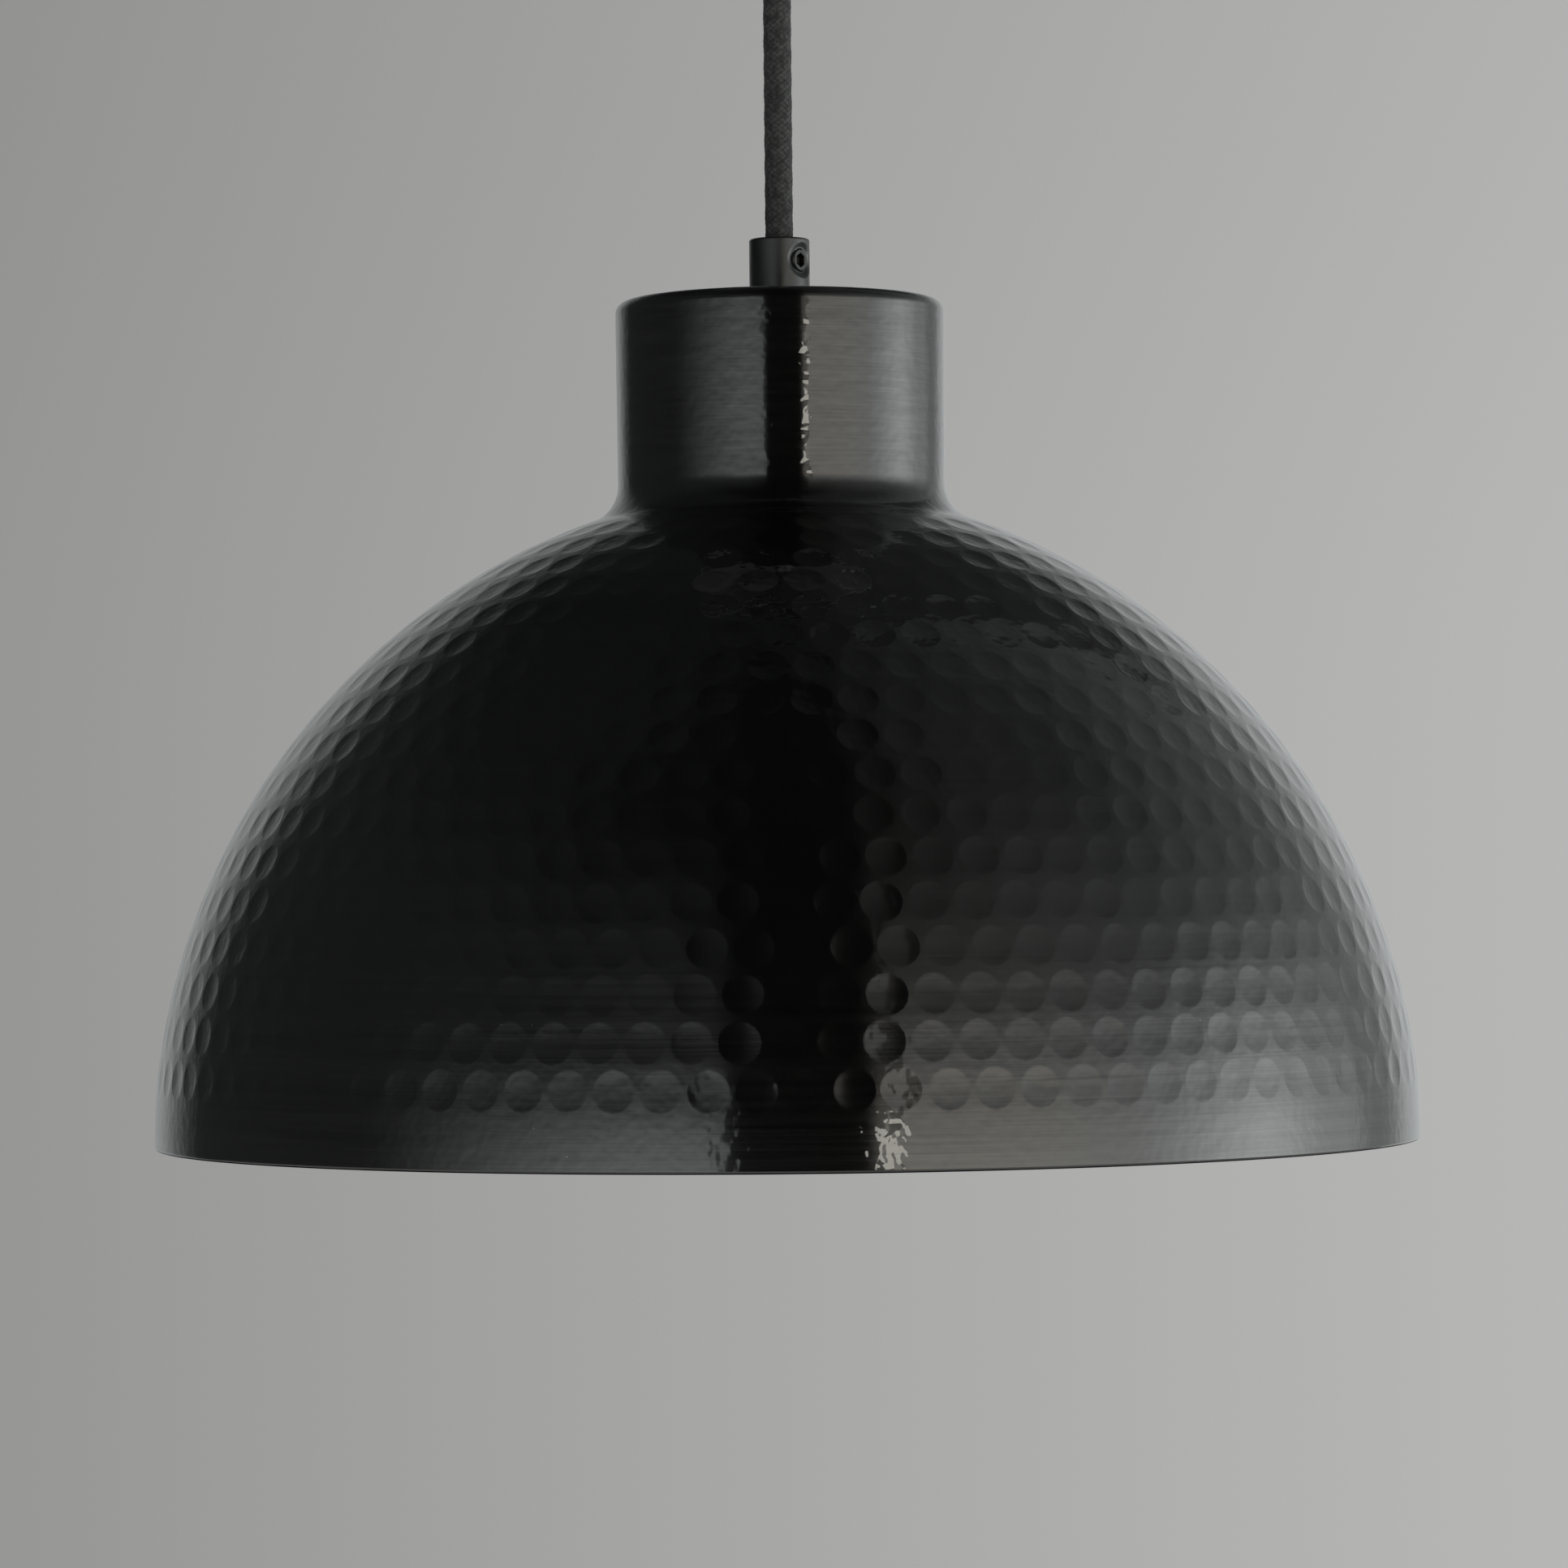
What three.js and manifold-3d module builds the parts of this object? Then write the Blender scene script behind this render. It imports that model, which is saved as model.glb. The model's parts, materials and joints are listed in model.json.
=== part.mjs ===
// A pendant ceiling light: a spun metal dome with a cylindrical neck, hung on a round textile cord from
// a cup-shaped ceiling rose, with an E27 lampholder and a filament bulb inside.
// Millimetres, +Z up. The origin is on the ceiling, in the middle of the rose's bracket.
import * as THREE from "three";
import { mergeVertices } from "three/addons/utils/BufferGeometryUtils.js";
import Module from "manifold-3d";

// Driving dimensions
const GAP = 0.3; // play between pieces that touch
const DROP = 346; // ceiling to the rim of the shade
const SHEET = 1; // wall of the spun metal

const RIM_R = 160;
const LIP = 2; // straight edge under the dome's curve
const DOME_H = 164; // height that the dome's curve would reach on the axis
const DOME_POWER = 1.937; // exponent of the dome's superellipse
const NECK_FOOT_R = 41.7;
const NECK_TOP_R = 42;
const NECK_FILLET = 10; // hollow fillet between the dome and the neck
const NECK_FOOT_Z = 166.8; // where that fillet meets the neck
const TOP_FILLET = 3;
const SHADE_H = 213.4; // rim to the flat top of the neck
const SHADE_SIDES = 48;

const CORD_R = 3.5;
const CORD_SIDES = 12;
const WIRE_R = 1.2;
const NIPPLE_R = 5; // M10 hollow threaded tube
const NIPPLE_BORE = 3.9;
const THREAD_BORE = 5.2; // hole in the pieces that sit on the nipple

const GRIP_R = 7.7; // cord grip
const GRIP_H = 15.9;
const GRIP_SEAT = 7.2; // depth of the grip's threaded end
const PIVOT_H = 13.9; // the cord bends here, just inside the grip's mouth
const GRIP_SCREW_H = 10.2;
const GRIP_SCREW_R = 2.9;
const GRIP_SCREW_TURN = -38; // degrees from +X to the side that the set screw faces
const SET_SCREW_KEY = 3; // across the flats of the hexagon socket

const ROSE_R = 50;
const ROSE_H = 30;
const ROSE_FILLET = 4;
const COVER_SCREW_Z = -12;
const COVER_SCREW_R = 2;
const BRACKET_R = 40;
const BRACKET_T = 2;
const CABLE_HOLE = { r: 7, y: -22 }; // hole for the supply cable
const FIXING_SLOT = { x: 26, half: 5, r: 2.6 }; // slots for the ceiling's screws

const BLOCK = { x: 38, y: 16, z: 12, back: 18 }; // terminal block: its size and its distance in +Y
const BLOCK_WAYS = [-9, 0, 9];
const BLOCK_SCREWS = [-16, 16];

const BODY_R = 19.5; // lampholder
const BULB_R = 30;
const BULB_Z = 100; // centre of the bulb's ball, above the rim

// Materials
function finish(color, roughness, metalness) {
  return new THREE.MeshStandardMaterial({ color, roughness, metalness });
}
const gunmetal = finish(0x3b3a38, 0.32, 1);
const braid = finish(0x34363a, 0.95, 0);
const zinc = finish(0x9fa3a6, 0.4, 1);
const brass = finish(0xb08d4a, 0.35, 1);
const phenolic = finish(0x16161a, 0.5, 0);
const nylon = finish(0xd8d8d0, 0.55, 0);
const ceramic = finish(0xe8e4da, 0.35, 0);
const glass = finish(0xe6eaea, 0.05, 0);
const filament = finish(0xe0b04a, 0.6, 0);
const wireColours = {
  live: finish(0x6b3a1e, 0.5, 0),
  neutral: finish(0x2a5ca8, 0.5, 0),
  earth: finish(0x4f9a3a, 0.5, 0),
};

// manifold-3d joins and cuts closed meshes
const wasm = await Module();
wasm.setup();

function toSolid(geometry) {
  const bare = geometry.index ? geometry.toNonIndexed() : geometry.clone();
  bare.deleteAttribute("normal");
  bare.deleteAttribute("uv");
  const merged = mergeVertices(bare, 1e-4);
  return new wasm.Manifold(
    new wasm.Mesh({
      numProp: 3,
      vertProperties: merged.attributes.position.array,
      triVerts: new Uint32Array(merged.index.array),
    }),
  );
}

function toGeometry(solid) {
  const mesh = solid.getMesh();
  const geometry = new THREE.BufferGeometry();
  geometry.setAttribute("position", new THREE.BufferAttribute(mesh.vertProperties, 3));
  geometry.setIndex(new THREE.BufferAttribute(mesh.triVerts, 1));
  geometry.computeVertexNormals();
  return geometry;
}

function cut(geometry, ...tools) {
  return toGeometry(tools.reduce((solid, tool) => solid.subtract(toSolid(tool)), toSolid(geometry)));
}

function join(geometry, ...others) {
  return toGeometry(others.reduce((solid, other) => solid.add(toSolid(other)), toSolid(geometry)));
}

// A solid of revolution about Z from [radius, height] points, up the outside and down the inside.
function turned(points, segments) {
  const profile = points.map(([r, z]) => new THREE.Vector2(r, z));
  return new THREE.LatheGeometry(profile, segments).rotateX(Math.PI / 2);
}

// A ring with square edges, from height low to height high.
function ring(inner, outer, low, high, segments) {
  return turned([[inner, low], [outer, low], [outer, high], [inner, high], [inner, low]], segments);
}

// A round bar along Z, from height low to height high.
function bar(radius, low, high, segments) {
  const length = high - low;
  return new THREE.CylinderGeometry(radius, radius, length, segments)
    .rotateX(Math.PI / 2)
    .translate(0, 0, low + length / 2);
}

function box(x0, x1, y0, y1, z0, z1) {
  return new THREE.BoxGeometry(x1 - x0, y1 - y0, z1 - z0).translate(
    (x0 + x1) / 2,
    (y0 + y1) / 2,
    (z0 + z1) / 2,
  );
}

// A six-sided outline, for a nut or a socket of the given size across its flats.
function hexagon(acrossFlats, Outline) {
  const outline = new Outline();
  const corner = acrossFlats / Math.sqrt(3);
  for (let i = 0; i < 6; i++) {
    const turn = (i * Math.PI) / 3;
    const move = i ? "lineTo" : "moveTo";
    outline[move](corner * Math.cos(turn), corner * Math.sin(turn));
  }
  outline.closePath();
  return outline;
}

function extruded(shape, depth, curveSegments = 12) {
  return new THREE.ExtrudeGeometry(shape, { depth, bevelEnabled: false, curveSegments });
}

function arc(centreR, centreZ, radius, fromDeg, toDeg, steps) {
  return Array.from({ length: steps + 1 }, (_, i) => {
    const turn = THREE.MathUtils.degToRad(fromDeg + ((toDeg - fromDeg) * i) / steps);
    return [centreR + radius * Math.cos(turn), centreZ + radius * Math.sin(turn)];
  });
}

function named(name, geometry, material) {
  const mesh = new THREE.Mesh(geometry, material);
  mesh.name = name;
  return mesh;
}

// A profile moved by a distance towards the inside of the wall.
function offsetInward(points, distance) {
  return points.map(([r, z], i) => {
    const [r0, z0] = points[Math.max(i - 1, 0)];
    const [r1, z1] = points[Math.min(i + 1, points.length - 1)];
    const length = Math.hypot(r1 - r0, z1 - z0);
    return [r - (distance * (z1 - z0)) / length, z + (distance * (r1 - r0)) / length];
  });
}

// The shade: a superellipse dome, a hollow fillet, a neck that widens slightly upwards and a flat top.
function shadeGeometry() {
  const domeSteps = 9;
  const filletAngle = 248; // where the fillet's arc leaves the dome
  const [filletFoot] = arc(NECK_FOOT_R + NECK_FILLET, NECK_FOOT_Z, NECK_FILLET, filletAngle, 180, 1);
  const last = Math.acos(Math.pow(filletFoot[0] / RIM_R, DOME_POWER / 2));
  const dome = Array.from({ length: domeSteps }, (_, i) => {
    const t = (last * i) / domeSteps;
    const power = 2 / DOME_POWER;
    return [RIM_R * Math.pow(Math.cos(t), power), LIP + DOME_H * Math.pow(Math.sin(t), power)];
  });
  const wall = [
    [RIM_R, 0],
    ...dome,
    ...arc(NECK_FOOT_R + NECK_FILLET, NECK_FOOT_Z, NECK_FILLET, filletAngle, 180, 3),
    ...arc(NECK_TOP_R - TOP_FILLET, SHADE_H - TOP_FILLET, TOP_FILLET, 0, 90, 3),
  ];
  const inside = offsetInward(wall, SHEET).reverse();
  inside[0] = [inside[0][0], SHADE_H - SHEET];
  inside[inside.length - 1] = [RIM_R - SHEET, 0];
  const hole = THREAD_BORE;
  return turned([...wall, [hole, SHADE_H], [hole, SHADE_H - SHEET], ...inside, wall[0]], SHADE_SIDES);
}

// A cord grip standing on z = 0: a threaded foot, a smooth throat and a flared mouth for the cord.
function gripGeometry() {
  const bevel = 0.5;
  const throat = NIPPLE_BORE;
  const mouth = 5;
  const body = turned(
    [
      [THREAD_BORE, 0],
      [GRIP_R - bevel, 0],
      [GRIP_R, bevel],
      [GRIP_R, GRIP_H - bevel],
      [GRIP_R - bevel, GRIP_H],
      [mouth, GRIP_H],
      [throat, PIVOT_H],
      [throat, GRIP_SEAT],
      [THREAD_BORE, GRIP_SEAT],
      [THREAD_BORE, 0],
    ],
    20,
  );
  const holeR = GRIP_SCREW_R + GAP;
  const sinkR = 4.2;
  const sinkDepth = 1;
  const tool = turned(
    [[0, 0], [holeR, 0], [holeR, GRIP_R - sinkDepth], [sinkR, GRIP_R], [sinkR, GRIP_R + 1], [0, GRIP_R + 1]],
    14,
  );
  return cut(body, tool.rotateY(Math.PI / 2).translate(0, 0, GRIP_SCREW_H));
}

// The grip's set screw, along +X, with a hexagon socket in its outer face.
function setScrewGeometry() {
  const inner = CORD_R + 0.4;
  const outer = GRIP_R - 0.8;
  const socketDepth = 1.6;
  const shape = new THREE.Shape();
  shape.absarc(0, 0, GRIP_SCREW_R, 0, 2 * Math.PI);
  shape.holes.push(hexagon(SET_SCREW_KEY, THREE.Path));
  const rim = extruded(shape, socketDepth, 7).translate(0, 0, outer - socketDepth);
  const core = bar(GRIP_SCREW_R - 0.1, inner, outer - socketDepth + 0.1, 14);
  return join(rim, core).rotateY(Math.PI / 2).translate(0, 0, GRIP_SCREW_H);
}

// A grip with its set screw, hollow nipple, spring washer and nut, on a wall whose outer face is z = 0.
function gripSet(prefix, nippleFoot) {
  const group = new THREE.Group();
  const grip = named(prefix + "_grip", gripGeometry(), gunmetal);
  const screw = named(prefix + "_grip_screw", setScrewGeometry(), gunmetal);
  const washerT = 1;
  const nutT = 3.5;
  const shape = hexagon(14, THREE.Shape);
  const hole = new THREE.Path();
  hole.absarc(0, 0, THREAD_BORE, 0, 2 * Math.PI);
  shape.holes.push(hole);
  const nut = extruded(shape, nutT, 6).translate(0, 0, -SHEET - washerT - nutT);
  group.add(
    grip,
    screw,
    named(prefix + "_nipple", ring(NIPPLE_BORE, NIPPLE_R, -nippleFoot, GRIP_SEAT - GAP, 16), zinc),
    named(prefix + "_washer", ring(THREAD_BORE, 9, -SHEET - washerT, -SHEET, 16), zinc),
    named(prefix + "_nut", nut, zinc),
  );
  grip.rotation.z = THREE.MathUtils.degToRad(GRIP_SCREW_TURN);
  screw.rotation.z = grip.rotation.z;
  return group;
}

// An insulated wire along a smooth curve through the given points.
function wire(name, points, material) {
  const path = new THREE.CatmullRomCurve3(points.map((p) => new THREE.Vector3(...p)));
  const section = new THREE.Shape();
  section.absarc(0, 0, WIRE_R, 0, 2 * Math.PI);
  const geometry = new THREE.ExtrudeGeometry(section, { extrudePath: path, steps: 7, curveSegments: 4 });
  return named(name, geometry, material);
}

// The bracket: a plate with slots for the ceiling's screws, a hole for the supply cable, and two tabs
// whose open slots take the cover's side screws.
function bracketGeometry() {
  const tabOut = 47;
  const tabHalf = 7;
  const tabFoot = -18;
  const armFoot = BRACKET_R - 2;
  const shape = new THREE.Shape();
  shape.absarc(0, 0, BRACKET_R, 0, 2 * Math.PI);
  const cable = new THREE.Path();
  cable.absarc(0, CABLE_HOLE.y, CABLE_HOLE.r, 0, 2 * Math.PI);
  shape.holes.push(cable);
  for (const x of [-FIXING_SLOT.x, FIXING_SLOT.x]) {
    const slot = new THREE.Path();
    slot.absarc(x, -FIXING_SLOT.half, FIXING_SLOT.r, Math.PI, 2 * Math.PI);
    slot.absarc(x, FIXING_SLOT.half, FIXING_SLOT.r, 0, Math.PI);
    slot.closePath();
    shape.holes.push(slot);
  }
  const disc = extruded(shape, BRACKET_T, 6).translate(0, 0, -BRACKET_T);
  const parts = [-1, 1].flatMap((side) => {
    const outer = side * tabOut;
    const inner = side * (tabOut - BRACKET_T);
    const tab = box(Math.min(outer, inner), Math.max(outer, inner), -tabHalf, tabHalf, tabFoot, 0);
    const reach = side * armFoot;
    const arm = box(Math.min(reach, outer), Math.max(reach, outer), -tabHalf, tabHalf, -BRACKET_T, 0);
    return [tab, arm];
  });
  const notch = COVER_SCREW_R + GAP;
  const tools = [-1, 1].flatMap((side) => {
    const at = side * (tabOut - BRACKET_T / 2);
    const round = bar(notch, -BRACKET_T, BRACKET_T, 12).rotateY(Math.PI / 2).translate(at, 0, COVER_SCREW_Z);
    return [round, box(at - BRACKET_T, at + BRACKET_T, -notch, notch, tabFoot - 1, COVER_SCREW_Z)];
  });
  return cut(join(disc, ...parts), ...tools);
}

// The cover: a shallow spun cup, open towards the ceiling.
function coverGeometry() {
  const rim = -0.5;
  const centreZ = -ROSE_H + ROSE_FILLET;
  const outer = arc(ROSE_R - ROSE_FILLET, centreZ, ROSE_FILLET, -90, 0, 3);
  const inner = arc(ROSE_R - ROSE_FILLET, centreZ, ROSE_FILLET - SHEET, 0, -90, 3);
  const cup = turned(
    [
      [THREAD_BORE, -ROSE_H],
      ...outer,
      [ROSE_R, rim],
      [ROSE_R - SHEET, rim],
      ...inner,
      [THREAD_BORE, -ROSE_H + SHEET],
      [THREAD_BORE, -ROSE_H],
    ],
    40,
  );
  const tool = bar(COVER_SCREW_R + GAP, -ROSE_R - 5, ROSE_R + 5, 12).rotateY(Math.PI / 2);
  return cut(cup, tool.translate(0, 0, COVER_SCREW_Z));
}

// A pan-head screw along +X, with its head's face on the cover's wall.
function coverScrewGeometry() {
  const headR = 3.6;
  const headT = 2.2;
  const tip = 43.5;
  const face = ROSE_R + 0.05;
  return turned(
    [
      [0, tip],
      [COVER_SCREW_R, tip],
      [COVER_SCREW_R, face],
      [headR, face],
      [headR, face + headT * 0.6],
      [headR * 0.7, face + headT],
      [0, face + headT],
    ],
    12,
  )
    .rotateY(Math.PI / 2)
    .translate(0, 0, COVER_SCREW_Z);
}

// The terminal block under the bracket: three ways, each a brass sleeve along Y with a screw from below.
function addTerminalBlock(group) {
  const top = -BRACKET_T;
  const axisZ = top - BLOCK.z / 2;
  const sleeveR = 2.6;
  const front = BLOCK.back - BLOCK.y / 2;
  const sleeveHole = sleeveR + GAP;
  const screwR = 1.6;
  const fixingR = 1.5;
  const foot = top - BLOCK.z;
  const body = box(-BLOCK.x / 2, BLOCK.x / 2, front, front + BLOCK.y, foot, top);
  const tools = BLOCK_WAYS.flatMap((x) => [
    bar(sleeveHole, -BLOCK.y, BLOCK.y, 14).rotateX(Math.PI / 2).translate(x, BLOCK.back, axisZ),
    bar(screwR + GAP, foot - 1, axisZ, 12).translate(x, BLOCK.back, 0),
  ]);
  for (const x of BLOCK_SCREWS) {
    tools.push(bar(fixingR + GAP, foot - 1, top + 1, 12).translate(x, BLOCK.back, 0));
  }
  group.add(named("terminal_block", cut(body, ...tools), nylon));
  Object.keys(wireColours).forEach((way, i) => {
    const sleeve = ring(1.6, sleeveR, -BLOCK.y / 2, BLOCK.y / 2, 14).rotateX(Math.PI / 2);
    const screw = bar(screwR, foot - 0.6, axisZ - sleeveR - GAP, 10);
    const x = BLOCK_WAYS[i];
    group.add(
      named("terminal_sleeve_" + way, sleeve.translate(x, BLOCK.back, axisZ), brass),
      named("terminal_screw_" + way, screw.translate(x, BLOCK.back, 0), zinc),
    );
  });
  BLOCK_SCREWS.forEach((x, i) => {
    const headR = 2.8;
    const screw = turned(
      [[0, foot - 1.8], [headR * 0.7, foot - 1.8], [headR, foot - 0.8], [headR, foot - 0.05],
        [fixingR, foot - 0.05], [fixingR, top - GAP], [0, top - GAP]],
      12,
    );
    group.add(named("block_screw_" + (i + 1), screw.translate(x, BLOCK.back, 0), zinc));
  });
  return { front, axisZ };
}

// The three cores that leave the end of a cord, at equal angles round its axis.
function coreStart(index) {
  const spread = 1.8;
  const turn = Math.PI + (index * 2 * Math.PI) / 3;
  return [spread * Math.cos(turn), spread * Math.sin(turn)];
}

function addRose(root) {
  const group = new THREE.Group();
  root.add(group);
  group.add(named("ceiling_bracket", bracketGeometry(), zinc));
  const { front, axisZ } = addTerminalBlock(group);
  const headR = 3.8;
  const headFoot = -BRACKET_T - 2.8;
  const headFace = -BRACKET_T - 0.05;
  const earthHead = turned(
    [[0, headFoot], [headR - 0.6, headFoot], [headR, headFoot + 0.8], [headR, headFace], [0, headFace]],
    12,
  );
  group.add(named("bracket_earth_screw", earthHead.translate(14, -14, 0), brass));
  group.add(named("rose_cover", coverGeometry(), gunmetal));
  ["right", "left"].forEach((side, i) => {
    const screw = named("cover_screw_" + side, coverScrewGeometry(), gunmetal);
    screw.rotation.z = i * Math.PI;
    group.add(screw);
  });

  const fittings = gripSet("rose", 8);
  fittings.rotation.x = Math.PI;
  fittings.position.z = -ROSE_H;
  group.add(fittings);

  const tailTop = -17;
  const tailFoot = -ROSE_H - PIVOT_H + CORD_R + GAP;
  group.add(named("cord_tail_upper", bar(CORD_R, tailFoot, tailTop, CORD_SIDES), braid));
  Object.entries(wireColours).forEach(([core, material], i) => {
    const [x, y] = coreStart(i);
    const end = BLOCK_WAYS[i];
    const points = [
      [x, y, tailTop + GAP],
      [x * 1.2, y * 1.2, tailTop + 3],
      [(x + end) / 2, 3, axisZ - 1],
      [end, 6.5, axisZ],
      [end, front - GAP, axisZ],
    ];
    group.add(wire("rose_wire_" + core, points, material));
  });
}

// The free cord, a straight tube with round ends whose centres are the points that it swings about.
function cordGeometry() {
  const top = -ROSE_H - PIVOT_H;
  const foot = -DROP + SHADE_H + PIVOT_H;
  return turned([...arc(0, foot, CORD_R, -90, 0, 3), ...arc(0, top, CORD_R, 0, 90, 3)], CORD_SIDES);
}

// The lampholder, in heights above the rim of the shade.
const HOLDER = {
  capTop: 206.8,
  capFoot: 182.3,
  bodyTop: 186.5,
  bodyFoot: 150,
  seat: 177, // ledge that the ceramic insert stands on
  insertTop: 184,
  shellTop: 176.2,
  shellFoot: 152,
};

function holderCapGeometry() {
  const neckR = 8.6;
  const wall = 1.8;
  const shoulder = [[neckR, 200.5], [11, 197.6], [15, 194.4], [18, 190.4], [BODY_R, 186]];
  const inside = [[BODY_R - wall, 186], [16.2, 189.6], [13.6, 192.9], [9.6, 196.2], [NIPPLE_R + 2, 198.4]];
  return turned(
    [
      [THREAD_BORE, 198.4],
      ...inside.slice(-1),
      ...inside.slice(0, -1).reverse(),
      [BODY_R - wall, HOLDER.capFoot],
      [BODY_R, HOLDER.capFoot],
      ...shoulder.reverse(),
      [neckR, HOLDER.capTop - 0.6],
      [neckR - 0.6, HOLDER.capTop],
      [THREAD_BORE, HOLDER.capTop],
      [THREAD_BORE, 198.4],
    ],
    24,
  );
}

function holderBodyGeometry() {
  const bore = 14.3;
  const seatR = 15.3;
  const collarR = 17.4;
  return turned(
    [
      [bore, HOLDER.bodyFoot],
      [BODY_R - 1.6, HOLDER.bodyFoot],
      [BODY_R - 0.8, HOLDER.bodyFoot + 1],
      [BODY_R, HOLDER.capFoot - 4],
      [BODY_R, HOLDER.capFoot - GAP],
      [collarR, HOLDER.capFoot - GAP],
      [collarR, HOLDER.bodyTop],
      [seatR, HOLDER.bodyTop],
      [seatR, HOLDER.seat],
      [bore, HOLDER.seat],
      [bore, HOLDER.bodyFoot],
    ],
    24,
  );
}

// The spring strip that meets the bulb's tip, bent in the XZ plane.
function centreContactGeometry() {
  const shape = new THREE.Shape();
  const thick = 0.5;
  const half = 7;
  const dip = 1.6;
  shape.moveTo(-half, 0);
  shape.quadraticCurveTo(-half / 3, 0, 0, -dip);
  shape.quadraticCurveTo(half / 3, 0, half, 0);
  shape.lineTo(half, -thick);
  shape.quadraticCurveTo(half / 3, -thick, 0, -dip - thick);
  shape.quadraticCurveTo(-half / 3, -thick, -half, -thick);
  const width = 4;
  return extruded(shape, width, 5)
    .translate(0, 0, -width / 2)
    .rotateX(Math.PI / 2)
    .translate(0, 0, HOLDER.seat);
}

// A brass terminal on the insert, at +X, with its screw on top.
function addHolderTerminal(group, core, turn) {
  const holder = new THREE.Group();
  const foot = HOLDER.insertTop + 0.05;
  const top = foot + 5;
  const at = 9;
  const screwR = 1.2;
  const block = cut(
    box(at - 2.5, at + 2.5, -2.5, 2.5, foot, top),
    bar(screwR + GAP, foot + 1, top + 1, 12).translate(at, 0, 0),
  );
  const screw = turned(
    [[0, foot + 1.5], [screwR, foot + 1.5], [screwR, top + 0.05], [2.2, top + 0.05],
      [2.2, top + 1], [1.6, top + 1.6], [0, top + 1.6]],
    12,
  );
  holder.add(named("holder_terminal_" + core, block, brass));
  holder.add(named("holder_screw_" + core, screw.translate(at, 0, 0), zinc));
  holder.rotation.z = turn;
  group.add(holder);
}

function addLampholder(group) {
  group.add(
    named("lampholder_cap", holderCapGeometry(), phenolic),
    named("lampholder_body", holderBodyGeometry(), phenolic),
    named("contact_insert", bar(15, HOLDER.seat + 0.05, HOLDER.insertTop, 20), ceramic),
    named("screw_shell", ring(13.45, 13.95, HOLDER.shellFoot, HOLDER.shellTop, 24), brass),
    named("centre_contact", centreContactGeometry(), brass),
    named("side_contact", box(9.5, 13.2, -2, 2, HOLDER.seat - 1.4, HOLDER.seat - 0.05), brass),
  );
  const tailFoot = 196;
  const tailTop = SHADE_H + PIVOT_H - CORD_R - GAP;
  group.add(named("cord_tail_lower", bar(CORD_R, tailFoot, tailTop, CORD_SIDES), braid));
  const turns = [Math.PI, 0, Math.PI / 2];
  Object.entries(wireColours).forEach(([core, material], i) => {
    addHolderTerminal(group, core, turns[i]);
    const reach = 6;
    const level = HOLDER.insertTop + 2.8;
    const [cos, sin] = [Math.cos(turns[i]), Math.sin(turns[i])];
    const points = [
      [1.9, tailFoot - GAP],
      [2.2, tailFoot - 3.5],
      [3.2, level + 2],
      [reach - 1.2, level],
      [reach, level],
    ].map(([r, z]) => [r * cos, r * sin, z]);
    group.add(wire("holder_wire_" + core, points, material));
  });
}

// The bulb's glass: a ball that draws in to a straight neck, open at the neck's end.
function bulbGlassGeometry() {
  const wall = 0.9;
  const shoulderDeg = 36;
  const neckR = 11.2;
  const neckZ = 146;
  const neckEnd = 160;
  const ball = arc(0, BULB_Z, BULB_R, -90, shoulderDeg, 9);
  const [r, z] = ball[ball.length - 1];
  const slope = THREE.MathUtils.degToRad(shoulderDeg + 90);
  const pull = 13;
  const blend = new THREE.CubicBezierCurve(
    new THREE.Vector2(r, z),
    new THREE.Vector2(r + pull * Math.cos(slope), z + pull * Math.sin(slope)),
    new THREE.Vector2(neckR, neckZ - pull),
    new THREE.Vector2(neckR, neckZ),
  );
  const flare = blend.getPoints(4).slice(1).map((p) => [p.x, p.y]);
  const outer = [...ball, ...flare, [neckR, neckEnd]];
  const inner = offsetInward(outer, wall).reverse();
  inner[inner.length - 1] = [0, BULB_Z - BULB_R + wall];
  return turned([...outer, ...inner], 24);
}

// The bulb's E27 cap: a tube with rounded ribs for its thread.
function bulbCapGeometry() {
  const foot = 147;
  const top = 169.7;
  const crest = 13.05;
  const root = 12.35;
  const pitch = 3.6;
  const outer = [[crest, foot], [crest, foot + 3.4]];
  for (let z = foot + 5; z < top - 2; z += pitch) {
    outer.push([root, z], [crest, z + pitch / 2]);
  }
  return turned([...outer, [root, top], [11.6, top], [11.6, foot], [crest, foot]], 24);
}

function addBulb(group) {
  const stem = [
    [0, 82], [0.9, 82.6], [1.1, 124], [2.6, 132],
    [3.4, 148], [9.4, 157], [9.4, 159.6], [0, 159.6],
  ];
  group.add(
    named("bulb_glass", bulbGlassGeometry(), glass),
    named("bulb_cap", bulbCapGeometry(), brass),
    named("bulb_insulator", turned([[0, 170], [11.8, 170], [6, 173.2], [0, 173.2]], 16), phenolic),
    named("bulb_tip", turned([[0, 173.3], [4.6, 173.3], [4.2, 174.1], [0, 174.6]], 12), zinc),
    named("bulb_stem", turned(stem, 12), glass),
  );
  const strips = 4;
  const stripR = 0.9;
  const stripHalf = 19;
  const stripLean = 9; // degrees
  for (let i = 0; i < strips; i++) {
    const strip = named("bulb_filament_" + (i + 1), bar(stripR, -stripHalf, stripHalf, 8), filament);
    const holder = new THREE.Group();
    strip.position.set(7, 0, BULB_Z + 6);
    strip.rotation.y = THREE.MathUtils.degToRad(stripLean);
    holder.rotation.z = ((i + 0.5) * 2 * Math.PI) / strips;
    holder.add(strip);
    group.add(holder);
  }
}

const pendant = new THREE.Group();
addRose(pendant);
pendant.add(named("cord", cordGeometry(), braid));

const lamp = new THREE.Group();
lamp.position.z = -DROP;
lamp.add(named("shade", shadeGeometry(), gunmetal));
const lampFittings = gripSet("lamp", 15);
lampFittings.position.z = SHADE_H;
lamp.add(lampFittings);
addLampholder(lamp);
addBulb(lamp);
pendant.add(lamp);

export default pendant;
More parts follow.
